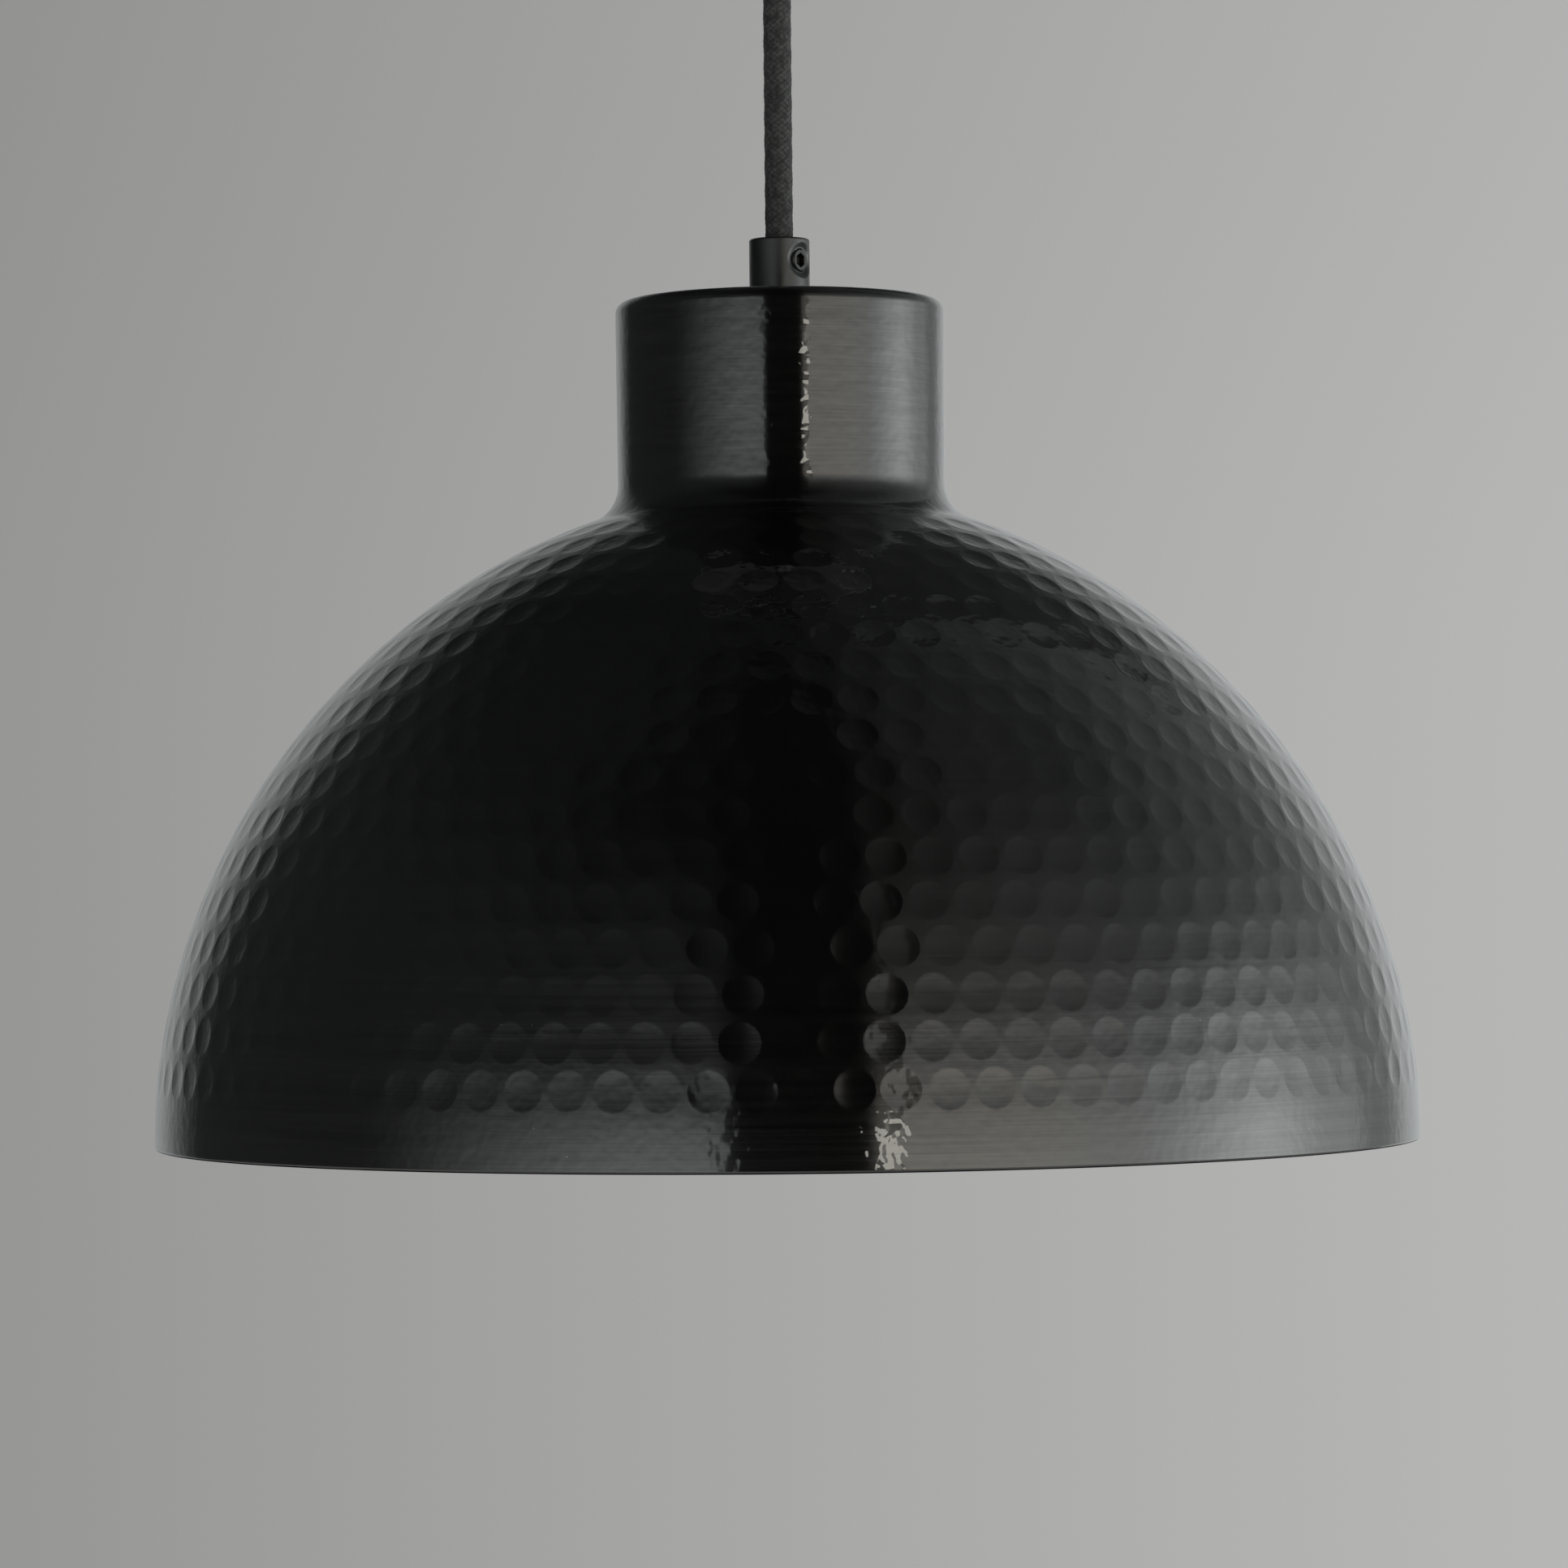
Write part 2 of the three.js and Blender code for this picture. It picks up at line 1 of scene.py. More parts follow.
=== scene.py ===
"""The looks of a pendant ceiling light: a hammered dark nickel dome under clear lacquer, on a braided cord."""
import functools
import json
import math

import bpy
import numpy as np
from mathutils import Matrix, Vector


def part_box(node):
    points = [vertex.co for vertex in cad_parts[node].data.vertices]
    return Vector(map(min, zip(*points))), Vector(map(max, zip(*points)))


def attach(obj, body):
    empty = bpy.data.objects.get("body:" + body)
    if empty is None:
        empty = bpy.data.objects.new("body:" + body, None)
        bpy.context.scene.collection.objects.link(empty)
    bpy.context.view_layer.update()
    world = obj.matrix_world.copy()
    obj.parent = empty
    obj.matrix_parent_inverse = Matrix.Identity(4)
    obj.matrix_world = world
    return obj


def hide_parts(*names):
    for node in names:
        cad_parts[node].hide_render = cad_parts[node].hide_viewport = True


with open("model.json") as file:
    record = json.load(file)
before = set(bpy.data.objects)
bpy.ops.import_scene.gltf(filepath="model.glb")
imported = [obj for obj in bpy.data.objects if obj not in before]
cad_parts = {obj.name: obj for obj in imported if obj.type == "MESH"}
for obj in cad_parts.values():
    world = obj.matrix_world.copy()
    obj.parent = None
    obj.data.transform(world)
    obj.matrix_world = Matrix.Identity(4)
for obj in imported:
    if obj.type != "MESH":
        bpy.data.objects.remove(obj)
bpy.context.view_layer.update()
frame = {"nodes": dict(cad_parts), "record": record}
MM = 0.001
rng = np.random.default_rng(7)

# Sizes in millimetres; heights of the lamp are above the rim of the shade
shade_low, shade_high = (np.array(corner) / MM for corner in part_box("shade"))
RIM_Z = shade_low[2]
RIM_R = shade_high[0]
SHADE_H = shade_high[2] - RIM_Z
SHEET = 1.0
LIP = 2.0
DOME_H = 164.0
DOME_POWER = 1.937
NECK_FOOT_R, NECK_TOP_R = 41.7, 42.0
NECK_FILLET, NECK_FOOT_Z, FILLET_FOOT_DEG = 10.0, 166.8, 248.0
TOP_FILLET = 3.0
HOLE_R = 5.2
EDGE_R = 0.8

# Rings of dimples, by arc length up the outline; the gap is between the cells of neighbouring rings
RING_COUNT, RING_FIRST, RING_PITCH, RING_GAP = 17, 18.8, 11.06, 0.12
DIMPLE_SPACING, DIMPLE_R, DIMPLE_DEPTH = 11.0, 4.9, 0.21
DIMPLE_EDGE = 0.03  # the share of the depth over which a dimple's edge is eased

CAMERA_AWAY = 1.409
CAMERA_ABOVE_RIM = 69.0
CAMERA_TILT, CAMERA_ROLL, CAMERA_TURN = 90.874, 0.55, 0.0126
LENS_MM, SENSOR_MM = 127.08, 36.0

GRIP_R, GRIP_H = 7.7, 15.9
GRIP_MOUTH_R, GRIP_THROAT_R, GRIP_SEAT = 5.0, 3.9, 7.2
GRIP_PIVOT_H = 13.9
GRIP_SCREW_H, GRIP_SCREW_R = 10.2, 2.9
GRIP_SCREW_TURN = math.radians(-38.0)
SINK_R, SINK_DEPTH = 4.7, 1.0
SOCKET_FLATS = 3.0
GRIP_WINDOW, GRIP_WELL = 5.1, 2.0
GRIP_HOLE_CIRCLES = (4.85, 4.7, 4.55, 4.35, 4.1, 3.85, 3.6, 3.4, 3.25, 3.15, 3.05, 2.95, 2.4, 1.2)

CORD_R, CORD_SWELL, CORD_TUCK = 3.5, 0.12, 1.5
CORD_FOOT, CORD_TOP = -118.7, -43.9
BRAID_STRANDS, BRAID_PITCH, BRAID_LIFT = 12, 17.0, 0.1
CORE_LAY, CORE_LIFT = 19.0, 0.06

ROSE_R, ROSE_H, ROSE_FILLET = 50.0, 30.0, 4.0
COVER_SCREW_Z = -12.0
COVER_HEAD_R, COVER_HEAD_T, COVER_SHANK_R = 3.6, 2.2, 2.0
HOLDER_R = 19.5
BULB_R, BULB_MIDDLE, BULB_WALL = 30.0, 100.0, 0.9
BULB_NECK_R, BULB_TOP, BULB_SHOULDER_DEG = 11.2, 160.0, 36.0
CAP_LOW, CAP_HIGH, CAP_PITCH, CAP_R, CAP_BORE_R = 147.0, 169.7, 3.62, 13.0, 11.6

# Soft patches of light: azimuth from, softness, to, softness; height from, to, softness; strength
SKY_PANELS = [
    (19.0, 0.5, 127.0, 11.0, -60.0, 10.0, 20.0, 0.57),
    (19.5, 0.6, 138.0, 4.0, -60.0, 42.0, 14.0, 0.04),
    (44.0, 22.0, 138.0, 4.0, -60.0, 84.0, 18.0, 0.026),
    (112.0, 28.0, 138.0, 4.0, 10.0, 62.0, 24.0, 0.07),
    (78.0, 17.0, 104.0, 12.0, -40.0, 8.0, 18.0, 0.66),
    (-50.0, 32.0, -11.0, 1.6, -50.0, 4.0, 14.0, 0.5),
    (-140.0, 10.0, -20.0, 7.0, -60.0, 42.0, 14.0, 0.012),
    (-140.0, 10.0, -55.0, 20.0, -60.0, 84.0, 16.0, 0.01),
    (15.3, 0.2, 19.0, 0.2, -4.0, 4.1, 0.2, 1.9),
]
SKY_BASE = 0.006


# ---------------------------------------------------------------- camera, light and floor

def make_camera():
    """The camera stands 1.4 m off, a little above the rim, tilted up slightly and rolled by half a degree."""
    data = bpy.data.cameras.new("camera")
    data.lens = LENS_MM
    data.sensor_width = SENSOR_MM
    camera = bpy.data.objects.new("camera", data)
    bpy.context.scene.collection.objects.link(camera)
    camera.location = (0.0, -CAMERA_AWAY, (RIM_Z + CAMERA_ABOVE_RIM) * MM)
    camera.rotation_euler = [math.radians(v) for v in (CAMERA_TILT, CAMERA_ROLL, CAMERA_TURN)]
    bpy.context.scene.camera = camera


class Graph:
    """A node tree with short calls for the nodes that the finishes and the sky use."""

    def __init__(self, tree):
        self.tree = tree

    def node(self, kind, **settings):
        made = self.tree.nodes.new(kind)
        for key, value in settings.items():
            setattr(made, key, value)
        return made

    def link(self, source, socket):
        self.tree.links.new(source, socket)

    def put(self, socket, value):
        if isinstance(value, bpy.types.NodeSocket):
            self.link(value, socket)
        elif value is not None:
            socket.default_value = value

    def math(self, operation, a, b=None, c=None):
        made = self.node("ShaderNodeMath", operation=operation)
        for socket, value in zip(made.inputs, (a, b, c)):
            self.put(socket, value)
        return made.outputs[0]

    def times(self, *values):
        return functools.reduce(lambda a, b: self.math("MULTIPLY", a, b), values)

    def plus(self, *values):
        return functools.reduce(lambda a, b: self.math("ADD", a, b), values)

    def share(self, a, b, part):
        """A part of a, and the rest of b."""
        return self.plus(self.times(a, part), self.times(b, 1.0 - part))

    def span(self, value, low, high, out_low=0.0, out_high=1.0, smooth=True):
        made = self.node("ShaderNodeMapRange", interpolation_type="SMOOTHSTEP" if smooth else "LINEAR")
        for socket, v in zip(made.inputs, (value, low, high, out_low, out_high)):
            self.put(socket, v)
        return made.outputs[0]

    def mix(self, factor, a, b, blend="MIX"):
        made = self.node("ShaderNodeMix", data_type="RGBA", blend_type=blend)
        self.put(made.inputs[0], factor)
        self.put(made.inputs[6], a)
        self.put(made.inputs[7], b)
        return made.outputs[2]

    def noise(self, vector, scale, detail=2.0, roughness=0.5):
        made = self.node("ShaderNodeTexNoise")
        self.put(made.inputs["Vector"], vector)
        made.inputs["Scale"].default_value = scale
        made.inputs["Detail"].default_value = detail
        made.inputs["Roughness"].default_value = roughness
        return made.outputs["Fac"]


def make_sky():
    """A studio in the round, as a pattern over azimuth and height: dark overhead and behind the camera, grey
    walls behind the lamp, a soft bright wall to the right and a dimmer one to the left. The camera itself sees
    only the plain wall, graded from left to right."""
    world = bpy.data.worlds.new("studio")
    bpy.context.scene.world = world
    world.use_nodes = True
    g = Graph(world.node_tree)
    g.tree.nodes.clear()
    coordinate = g.node("ShaderNodeTexCoord")
    xyz = g.node("ShaderNodeSeparateXYZ")
    g.link(coordinate.outputs["Generated"], xyz.inputs[0])
    x, y, z = xyz.outputs
    degrees = 180 / math.pi
    azimuth = g.times(g.math("ARCTAN2", x, g.times(y, -1.0)), degrees)
    height = g.times(g.math("ARCSINE", z), degrees)

    def panel(az0, soft0, az1, soft1, h0, h1, h_soft, strength):
        """A patch of light between two azimuths and two heights, in degrees, fading over twice each softness."""
        left = g.span(azimuth, az0 - soft0, az0 + soft0)
        right = g.span(azimuth, az1 - soft1, az1 + soft1, 1.0, 0.0)
        low = g.span(height, h0 - h_soft, h0 + h_soft)
        high = g.span(height, h1 - h_soft, h1 + h_soft, 1.0, 0.0)
        return g.times(left, right, low, high, strength)

    behind = g.span(g.math("ABSOLUTE", g.plus(azimuth, 3.0)), 127.0, 155.0)
    slope = g.span(x, -0.15, 0.15, 0.302, 0.478, smooth=False)
    wall = g.times(slope, g.span(height, 1.0, 11.0, 1.0, 0.93))
    upright = g.times(g.span(height, -70.0, -30.0, 0.3, 1.0), g.span(height, 12.0, 42.0, 1.0, 0.03))
    total = g.plus(*[panel(*row) for row in SKY_PANELS], g.times(behind, wall, upright), SKY_BASE)
    seen = g.node("ShaderNodeLightPath").outputs["Is Camera Ray"]
    shown = g.node("ShaderNodeMix", data_type="FLOAT")
    for socket, value in zip(shown.inputs[:1] + shown.inputs[2:4], (seen, total, wall)):
        g.put(socket, value)
    background = g.node("ShaderNodeBackground")
    level = g.span(height, 4.0, 22.0, 1.0, 0.0)
    warm = g.times(g.span(azimuth, 30.0, 80.0, 1.0, 0.0), level, g.span(azimuth, 0.0, 10.0))
    tint = g.mix(warm, (0.965, 1.0, 1.0, 1.0), (1.0, 0.965, 0.875, 1.0))
    tint = g.mix(seen, tint, (1.0, 0.998, 0.99, 1.0))
    g.link(tint, background.inputs["Color"])
    g.link(shown.outputs[0], background.inputs["Strength"])
    out = g.node("ShaderNodeOutputWorld")
    g.link(background.outputs[0], out.inputs[0])


def make_floor():
    """A pale round floor, well under the lamp."""
    bpy.ops.mesh.primitive_circle_add(vertices=96, radius=5.0, fill_type="NGON", location=(0, 0, -2.2))
    floor = bpy.context.object
    floor.name = "floor"
    material = bpy.data.materials.new("pale_floor")
    material.use_nodes = True
    shader = material.node_tree.nodes["Principled BSDF"]
    shader.inputs["Base Color"].default_value = (0.62, 0.62, 0.62, 1)
    shader.inputs["Roughness"].default_value = 0.8
    shader.inputs["Emission Color"].default_value = (1, 1, 1, 1)
    shader.inputs["Emission Strength"].default_value = 0.16
    floor.data.materials.append(material)


# ---------------------------------------------------------------- mesh helpers

def make_piece(name, points_mm, faces, normals=None, uv=None, smooth=True):
    """A mesh object at the origin, from points in millimetres and arrays of faces, each (count, corners)."""
    mesh = bpy.data.meshes.new(name)
    sizes = np.concatenate([np.full(len(f), f.shape[1]) for f in faces])
    loops = np.concatenate([f.ravel() for f in faces]).astype(np.int32)
    mesh.vertices.add(len(points_mm))
    mesh.vertices.foreach_set("co", (np.asarray(points_mm) * MM).astype(np.float32).ravel())
    mesh.loops.add(len(loops))
    mesh.loops.foreach_set("vertex_index", loops)
    mesh.polygons.add(len(sizes))
    mesh.polygons.foreach_set("loop_start", np.concatenate([[0], np.cumsum(sizes)[:-1]]).astype(np.int32))
    mesh.polygons.foreach_set("loop_total", sizes.astype(np.int32))
    mesh.update(calc_edges=True)
    mesh.validate()
    mesh.polygons.foreach_set("use_smooth", np.full(len(mesh.polygons), smooth))
    if uv is not None:
        layer = mesh.uv_layers.new(name="UVMap")
        index = np.zeros(len(mesh.loops), np.int32)
        mesh.loops.foreach_get("vertex_index", index)
        layer.data.foreach_set("uv", uv[index].astype(np.float32).ravel())
    if normals is not None:
        mesh.normals_split_custom_set_from_vertices(normals.tolist())
    piece = bpy.data.objects.new(name, mesh)
    bpy.context.scene.collection.objects.link(piece)
    return piece


def arc(centre_r, centre_z, radius, start_deg, end_deg, count):
    """Points on a circle in the profile plane, from one angle to another."""
    turn = np.radians(np.linspace(start_deg, end_deg, count))
    return np.stack([centre_r + radius * np.cos(turn), centre_z + radius * np.sin(turn)], 1)


def around(r, turn, z):
    """Points at radii and heights about Z, one row for each angle."""
    turn = turn[:, None]
    return np.stack(np.broadcast_arrays(r * np.cos(turn), r * np.sin(turn), z), -1)


def azimuth_of(points):
    return np.arctan2(points[:, 1], points[:, 0])


TURN_OVER = [0, 3, 2, 1]


def band(low, high):
    """Quads between two loops of point numbers; the last axis runs round the loops."""
    return np.stack([low, np.roll(low, -1, -1), np.roll(high, -1, -1), high], -1)


def fan(loop, centre):
    """Triangles from a loop of point numbers to the number of a point in its middle."""
    return np.stack(np.broadcast_arrays(loop, np.roll(loop, -1, -1), centre), -1)


def grid_faces(index):
    """Quads of a grid of point numbers that closes on itself both ways."""
    beside = np.roll(index, -1, 0)
    return np.stack([index, beside, np.roll(beside, -1, 1), np.roll(index, -1, 1)], -1)


def zip_up(low, low_turn, high, high_turn):
    """Triangles between two loops of different counts, by the order of their points' angles."""
    low_turn, high_turn = low_turn % (2 * math.pi), high_turn % (2 * math.pi)
    a, b = np.argsort(low_turn), np.argsort(high_turn)
    low, low_turn, high, high_turn = low[a], low_turn[a], high[b], high_turn[b]
    j = (np.searchsorted(high_turn, low_turn, "left") - 1) % len(high)
    i = (np.searchsorted(low_turn, high_turn, "right") - 1) % len(low)
    return [np.stack([np.roll(low, 1), low, high[j]], 1), np.stack([low[i], high, np.roll(high, 1)], 1)]


def join_points(points, faces):
    """Joins points at the same place, then drops the faces that this closes up and the points that no face
    uses. Returns the numbers of the points to keep, and the faces."""
    key = np.round(points * 1e4).astype(np.int64)
    _, first, inverse = np.unique(key, axis=0, return_index=True, return_inverse=True)
    moved = [inverse.ravel()[f] for f in faces]
    kept = [f[(f != np.roll(f, -1, 1)).all(1)] for f in moved]
    used = np.unique(np.concatenate([f.ravel() for f in kept]))
    place = np.full(len(first), -1)
    place[used] = np.arange(len(used))
    return first[used], [place[f] for f in kept]


def crisp_piece(name, points, faces, degrees=38.0):
    """A piece with its points joined, and its edges steeper than an angle kept crisp."""
    kept, faces = join_points(points, faces)
    piece = make_piece(name, points[kept], faces)
    piece.data.set_sharp_from_angle(angle=math.radians(degrees))
    return piece


# ---------------------------------------------------------------- shade

class Profile:
    """A curve in the (radius, height) plane, looked up by its arc length."""

    def __init__(self, points):
        keep = np.concatenate([[True], np.hypot(*np.diff(points, axis=0).T) > 1e-6])
        self.points = points[keep]
        steps = np.hypot(*np.diff(self.points, axis=0).T)
        self.length = np.concatenate([[0.0], np.cumsum(steps)])
        tangent = np.gradient(self.points, self.length, axis=0)
        self.tangent = tangent / np.hypot(*tangent.T)[:, None]

    def at(self, s):
        """Radius and height, and the outward normal's radius and height, at arc length s."""
        r, z = (np.interp(s, self.length, self.points[:, k]) for k in (0, 1))
        tr, tz = (np.interp(s, self.length, self.tangent[:, k]) for k in (0, 1))
        return r, z, tz, -tr


def shade_outline():
    """The shade's outside from the rim to the edge of its top hole. The dome is a superellipse: the radius is
    the rim's times cos(t)^(2/p), the height the dome's times sin(t)^(2/p). A hollow fillet leads to the neck."""
    foot = arc(NECK_FOOT_R + NECK_FILLET, NECK_FOOT_Z, NECK_FILLET, FILLET_FOOT_DEG, 180, 60)
    last = math.acos((foot[0, 0] / RIM_R) ** (DOME_POWER / 2))
    t = np.linspace(0, last, 4000)
    power = 2 / DOME_POWER
    dome = np.stack([RIM_R * np.cos(t) ** power, LIP + DOME_H * np.sin(t) ** power], 1)
    start = np.stack([np.full(12, RIM_R), np.linspace(0, LIP, 13)[:-1]], 1)
    neck_top = arc(NECK_TOP_R - TOP_FILLET, SHADE_H - TOP_FILLET, TOP_FILLET, 0, 90, 40)
    hole = np.array([[HOLE_R, SHADE_H]])
    return Profile(np.concatenate([start, dome, foot[1:], neck_top, hole]))


OUTLINE = shade_outline()
RINGS = [RING_FIRST + RING_PITCH * i for i in range(RING_COUNT)]
RING_DIMPLES = [round(2 * math.pi * float(OUTLINE.at(s)[0]) / DIMPLE_SPACING) for s in RINGS]


def dimple_table():
    """For every dimple: its ring, its cell's angle, its own angle, arc length, radius and depth, each with a
    little of the hammer's chance, and half of the cell's turn."""
    rows = []
    for i, (s, count) in enumerate(zip(RINGS, RING_DIMPLES)):
        step = 2 * math.pi / count
        nominal = (np.arange(count) + rng.random()) * step
        radius = float(OUTLINE.at(s)[0])
        rows.append(np.stack([
            np.full(count, i, float),
            nominal,
            nominal + rng.uniform(-0.14, 0.14, count) / radius,
            s + rng.uniform(-0.12, 0.12, count),
            DIMPLE_R * rng.uniform(0.97, 1.01, count),
            DIMPLE_DEPTH * rng.uniform(0.75, 1.2, count),
            np.full(count, step / 2),
        ], 1))
    return np.concatenate(rows)


def dent(theta, s, cell):
    """How far a dimple sinks the surface: a shallow bowl, depth times (1 - q) with q the squared distance over
    the squared radius, rounded off at its edge by a soft maximum with zero."""
    r = OUTLINE.at(cell[..., 3])[0]
    q = ((r * (theta - cell[..., 2])) ** 2 + (s - cell[..., 3]) ** 2) / cell[..., 4] ** 2
    return -cell[..., 5] * DIMPLE_EDGE * np.logaddexp(0, (1 - q) / DIMPLE_EDGE)


def shade_point(theta, s, cell, inside):
    """A point of the shade at an angle and arc length, on its outer face or one sheet's thickness inside."""
    r, z, nr, nz = OUTLINE.at(s)
    shift = (dent(theta, s, cell) if cell is not None else 0.0) - (SHEET if inside else 0.0)
    radius = r + nr * shift
    return np.stack([radius * np.cos(theta), radius * np.sin(theta), z + nz * shift], -1)


def shade_normal(theta, s, cell, inside):
    """The surface's outward normal, from small steps along both of its directions."""
    e = 0.01
    r = np.maximum(OUTLINE.at(s)[0], 1.0)
    across = shade_point(theta + e / r, s, cell, inside) - shade_point(theta - e / r, s, cell, inside)
    along = shade_point(theta, s + e, cell, inside) - shade_point(theta, s - e, cell, inside)
    n = np.cross(across, along)
    n /= np.linalg.norm(n, axis=-1, keepdims=True)
    return -n if inside else n


class Skin:
    """Collects vertices and faces of one face of the shade's sheet."""

    def __init__(self, inside):
        self.inside = inside
        self.theta, self.s, self.cells, self.faces, self.count = [], [], [], [], 0

    def add(self, theta, s, cell=None):
        theta, s = np.broadcast_arrays(np.asarray(theta, float), np.asarray(s, float))
        blank = np.zeros(theta.shape + (7,))
        blank[..., 4] = 1.0
        blank[..., 3] = -1e3
        cell = blank if cell is None else np.broadcast_to(cell, theta.shape + (7,))
        index = self.count + np.arange(theta.size).reshape(theta.shape)
        self.theta.append(theta.ravel())
        self.s.append(s.ravel())
        self.cells.append(cell.reshape(-1, 7))
        self.count += theta.size
        return index

    def quads(self, low, high):
        """A closed band of quads between two loops of the same count; the last axis runs round the loop."""
        self.faces.append(band(low, high).reshape(-1, 4))


def add_ring(skin, cells, side_steps, fractions):
    """One ring of dimples. Each has a cell whose edge is a rectangle with a few steps to a side, then circles at
    the given fractions of the dimple's radius, then a point in its middle. Returns the ring's two edge loops."""
    eighth = math.tan(math.pi / 8)
    ticks = np.array({4: [-1, -eighth, 0, eighth], 2: [-1, 0]}[side_steps])
    ones = np.ones(side_steps)
    u = np.concatenate([ticks, ones, -ticks, -ones])
    v = np.concatenate([-ones, ticks, ones, -ticks])
    half_s = RING_PITCH / 2 - RING_GAP
    ring_s = RINGS[int(cells[0, 0])]
    ring = cells[:, None, :]
    edge_theta = ring[..., 1] + u * ring[..., 6]
    edge = skin.add(edge_theta, ring_s + v * half_s)
    previous = edge
    turn = np.arctan2(v, u)
    radius = OUTLINE.at(ring[..., 3])[0]
    for fraction in fractions:
        circle = skin.add(
            ring[..., 2] + fraction * ring[..., 4] * np.cos(turn) / radius,
            ring[..., 3] + fraction * ring[..., 4] * np.sin(turn),
            ring,
        )
        skin.quads(previous, circle)
        previous = circle
    centre = skin.add(cells[:, 2], cells[:, 3], cells)
    skin.faces.append(fan(previous, centre[:, None]).reshape(-1, 3))
    low, high = slice(0, side_steps), slice(2 * side_steps, 3 * side_steps)
    return (edge[:, low].ravel(), edge_theta[:, low].ravel()), (
        edge[:, high][:, ::-1].ravel(), edge_theta[:, high][:, ::-1].ravel())


def build_skin(inside, table, side_steps, fractions, band, neck):
    """One face of the sheet: a smooth band over the rim, the rings of dimples zipped together, then the neck."""
    skin = Skin(inside)
    previous = None
    for i in range(RING_COUNT):
        cells = table[table[:, 0] == i]
        low, high = add_ring(skin, cells, side_steps, fractions)
        if previous is None:
            loop, turn = low
            above = loop
            for s in band[::-1]:
                below = skin.add(turn, s)
                skin.quads(below, above)
                above = below
            first = above
        else:
            skin.faces += zip_up(*previous, *low)
        previous = high
    below, turn = previous
    for s in neck:
        above = skin.add(turn, s)
        skin.quads(below, above)
        below = above
    return skin, first, below


def make_shade():
    """The shade as one closed sheet: both skins, joined by a rounded rim and the edge of the top hole."""
    table = dimple_table()
    top_s = RINGS[-1] + RING_PITCH / 2 - RING_GAP
    first_s = RINGS[0] - RING_PITCH / 2 + RING_GAP
    heights = OUTLINE.points[:-1, 1]
    neck_low, neck_high = np.interp([NECK_FOOT_Z, SHADE_H - TOP_FILLET], heights, OUTLINE.length[:-1])
    corner = neck_high + TOP_FILLET * math.pi / 2
    neck = np.concatenate([
        np.linspace(top_s, neck_low, 13)[1:],
        np.linspace(neck_low, neck_high, 4)[1:],
        np.linspace(neck_high, corner, 8)[1:],
        [corner + 8.0, corner + 20.0, OUTLINE.length[-1]],
    ])
    outer, rim_out, hole_out = build_skin(
        False, table, 4, (1.06, 0.97, 0.86), np.linspace(EDGE_R, first_s, 6)[:-1], neck)
    inner, rim_in, hole_in = build_skin(
        True, table, 2, (0.95,), np.linspace(EDGE_R, first_s, 5)[:-1],
        neck[[3, 7, 11, 14, 16, 18, 20, 21, 24]])
    sides = []
    for skin in (outer, inner):
        theta, s, cell = (np.concatenate(v) for v in (skin.theta, skin.s, skin.cells))
        points = shade_point(theta, s, cell, skin.inside)
        normals = shade_normal(theta, s, cell, skin.inside)
        sides.append((points, normals, np.stack([theta / (2 * math.pi), s * MM], 1)))
    offset = outer.count
    faces = outer.faces + [f[:, ::-1] + offset for f in inner.faces]
    points, normals, uv = (np.concatenate([a, b]) for a, b in zip(*sides))
    rim_out, hole_out, rim_in, hole_in = (
        loop[np.argsort(azimuth_of(points[loop]))]
        for loop in (rim_out, hole_out, rim_in + offset, hole_in + offset))

    below, turn = rim_out, azimuth_of(points[rim_out])
    bends = [(RIM_R - EDGE_R, a) for a in (-30, -60, -90)]
    bends += [(RIM_R - SHEET + EDGE_R, a) for a in (-90, -120, -150)]
    for centre, bend in bends:
        nr, nz = math.cos(math.radians(bend)), math.sin(math.radians(bend))
        above = len(points) + np.arange(len(turn))
        points = np.concatenate([points, around(centre + EDGE_R * nr, turn, EDGE_R + EDGE_R * nz)[:, 0]])
        normals = np.concatenate([normals, around(nr, turn, nz)[:, 0]])
        uv = np.concatenate([uv, np.stack([turn / (2 * math.pi), np.zeros(len(turn))], 1)])
        faces.append(band(below, above)[:, TURN_OVER])
        below = above
    rim = zip_up(below, azimuth_of(points[below]), rim_in, azimuth_of(points[rim_in]))
    faces += [f[:, ::-1] for f in rim]
    faces += zip_up(hole_out, azimuth_of(points[hole_out]), hole_in, azimuth_of(points[hole_in]))

    points[:, 2] += RIM_Z
    kept, faces = join_points(points, faces)
    return make_piece("shade_sheet", points[kept], faces, normals[kept], uv[kept])


# ---------------------------------------------------------------- turned pieces

def rounded(points, radius, steps=5):
    """A profile with its corners rounded: each corner c is swapped for points of the curve
    (1-t)^2 a + 2t(1-t) c + t^2 b, where a and b lie on its sides, at the radius or half of a side from it."""
    points = np.asarray(points, float)
    out = []
    for i, corner in enumerate(points):
        before, after = points[i - 1], points[(i + 1) % len(points)]
        a, b = before - corner, after - corner
        reach = min(radius, np.hypot(*a) / 2, np.hypot(*b) / 2)
        start, end = corner + a / np.hypot(*a) * reach, corner + b / np.hypot(*b) * reach
        t = np.linspace(0, 1, steps)[:, None]
        out.append((1 - t) ** 2 * start + 2 * t * (1 - t) * corner + t**2 * end)
    return np.concatenate(out)


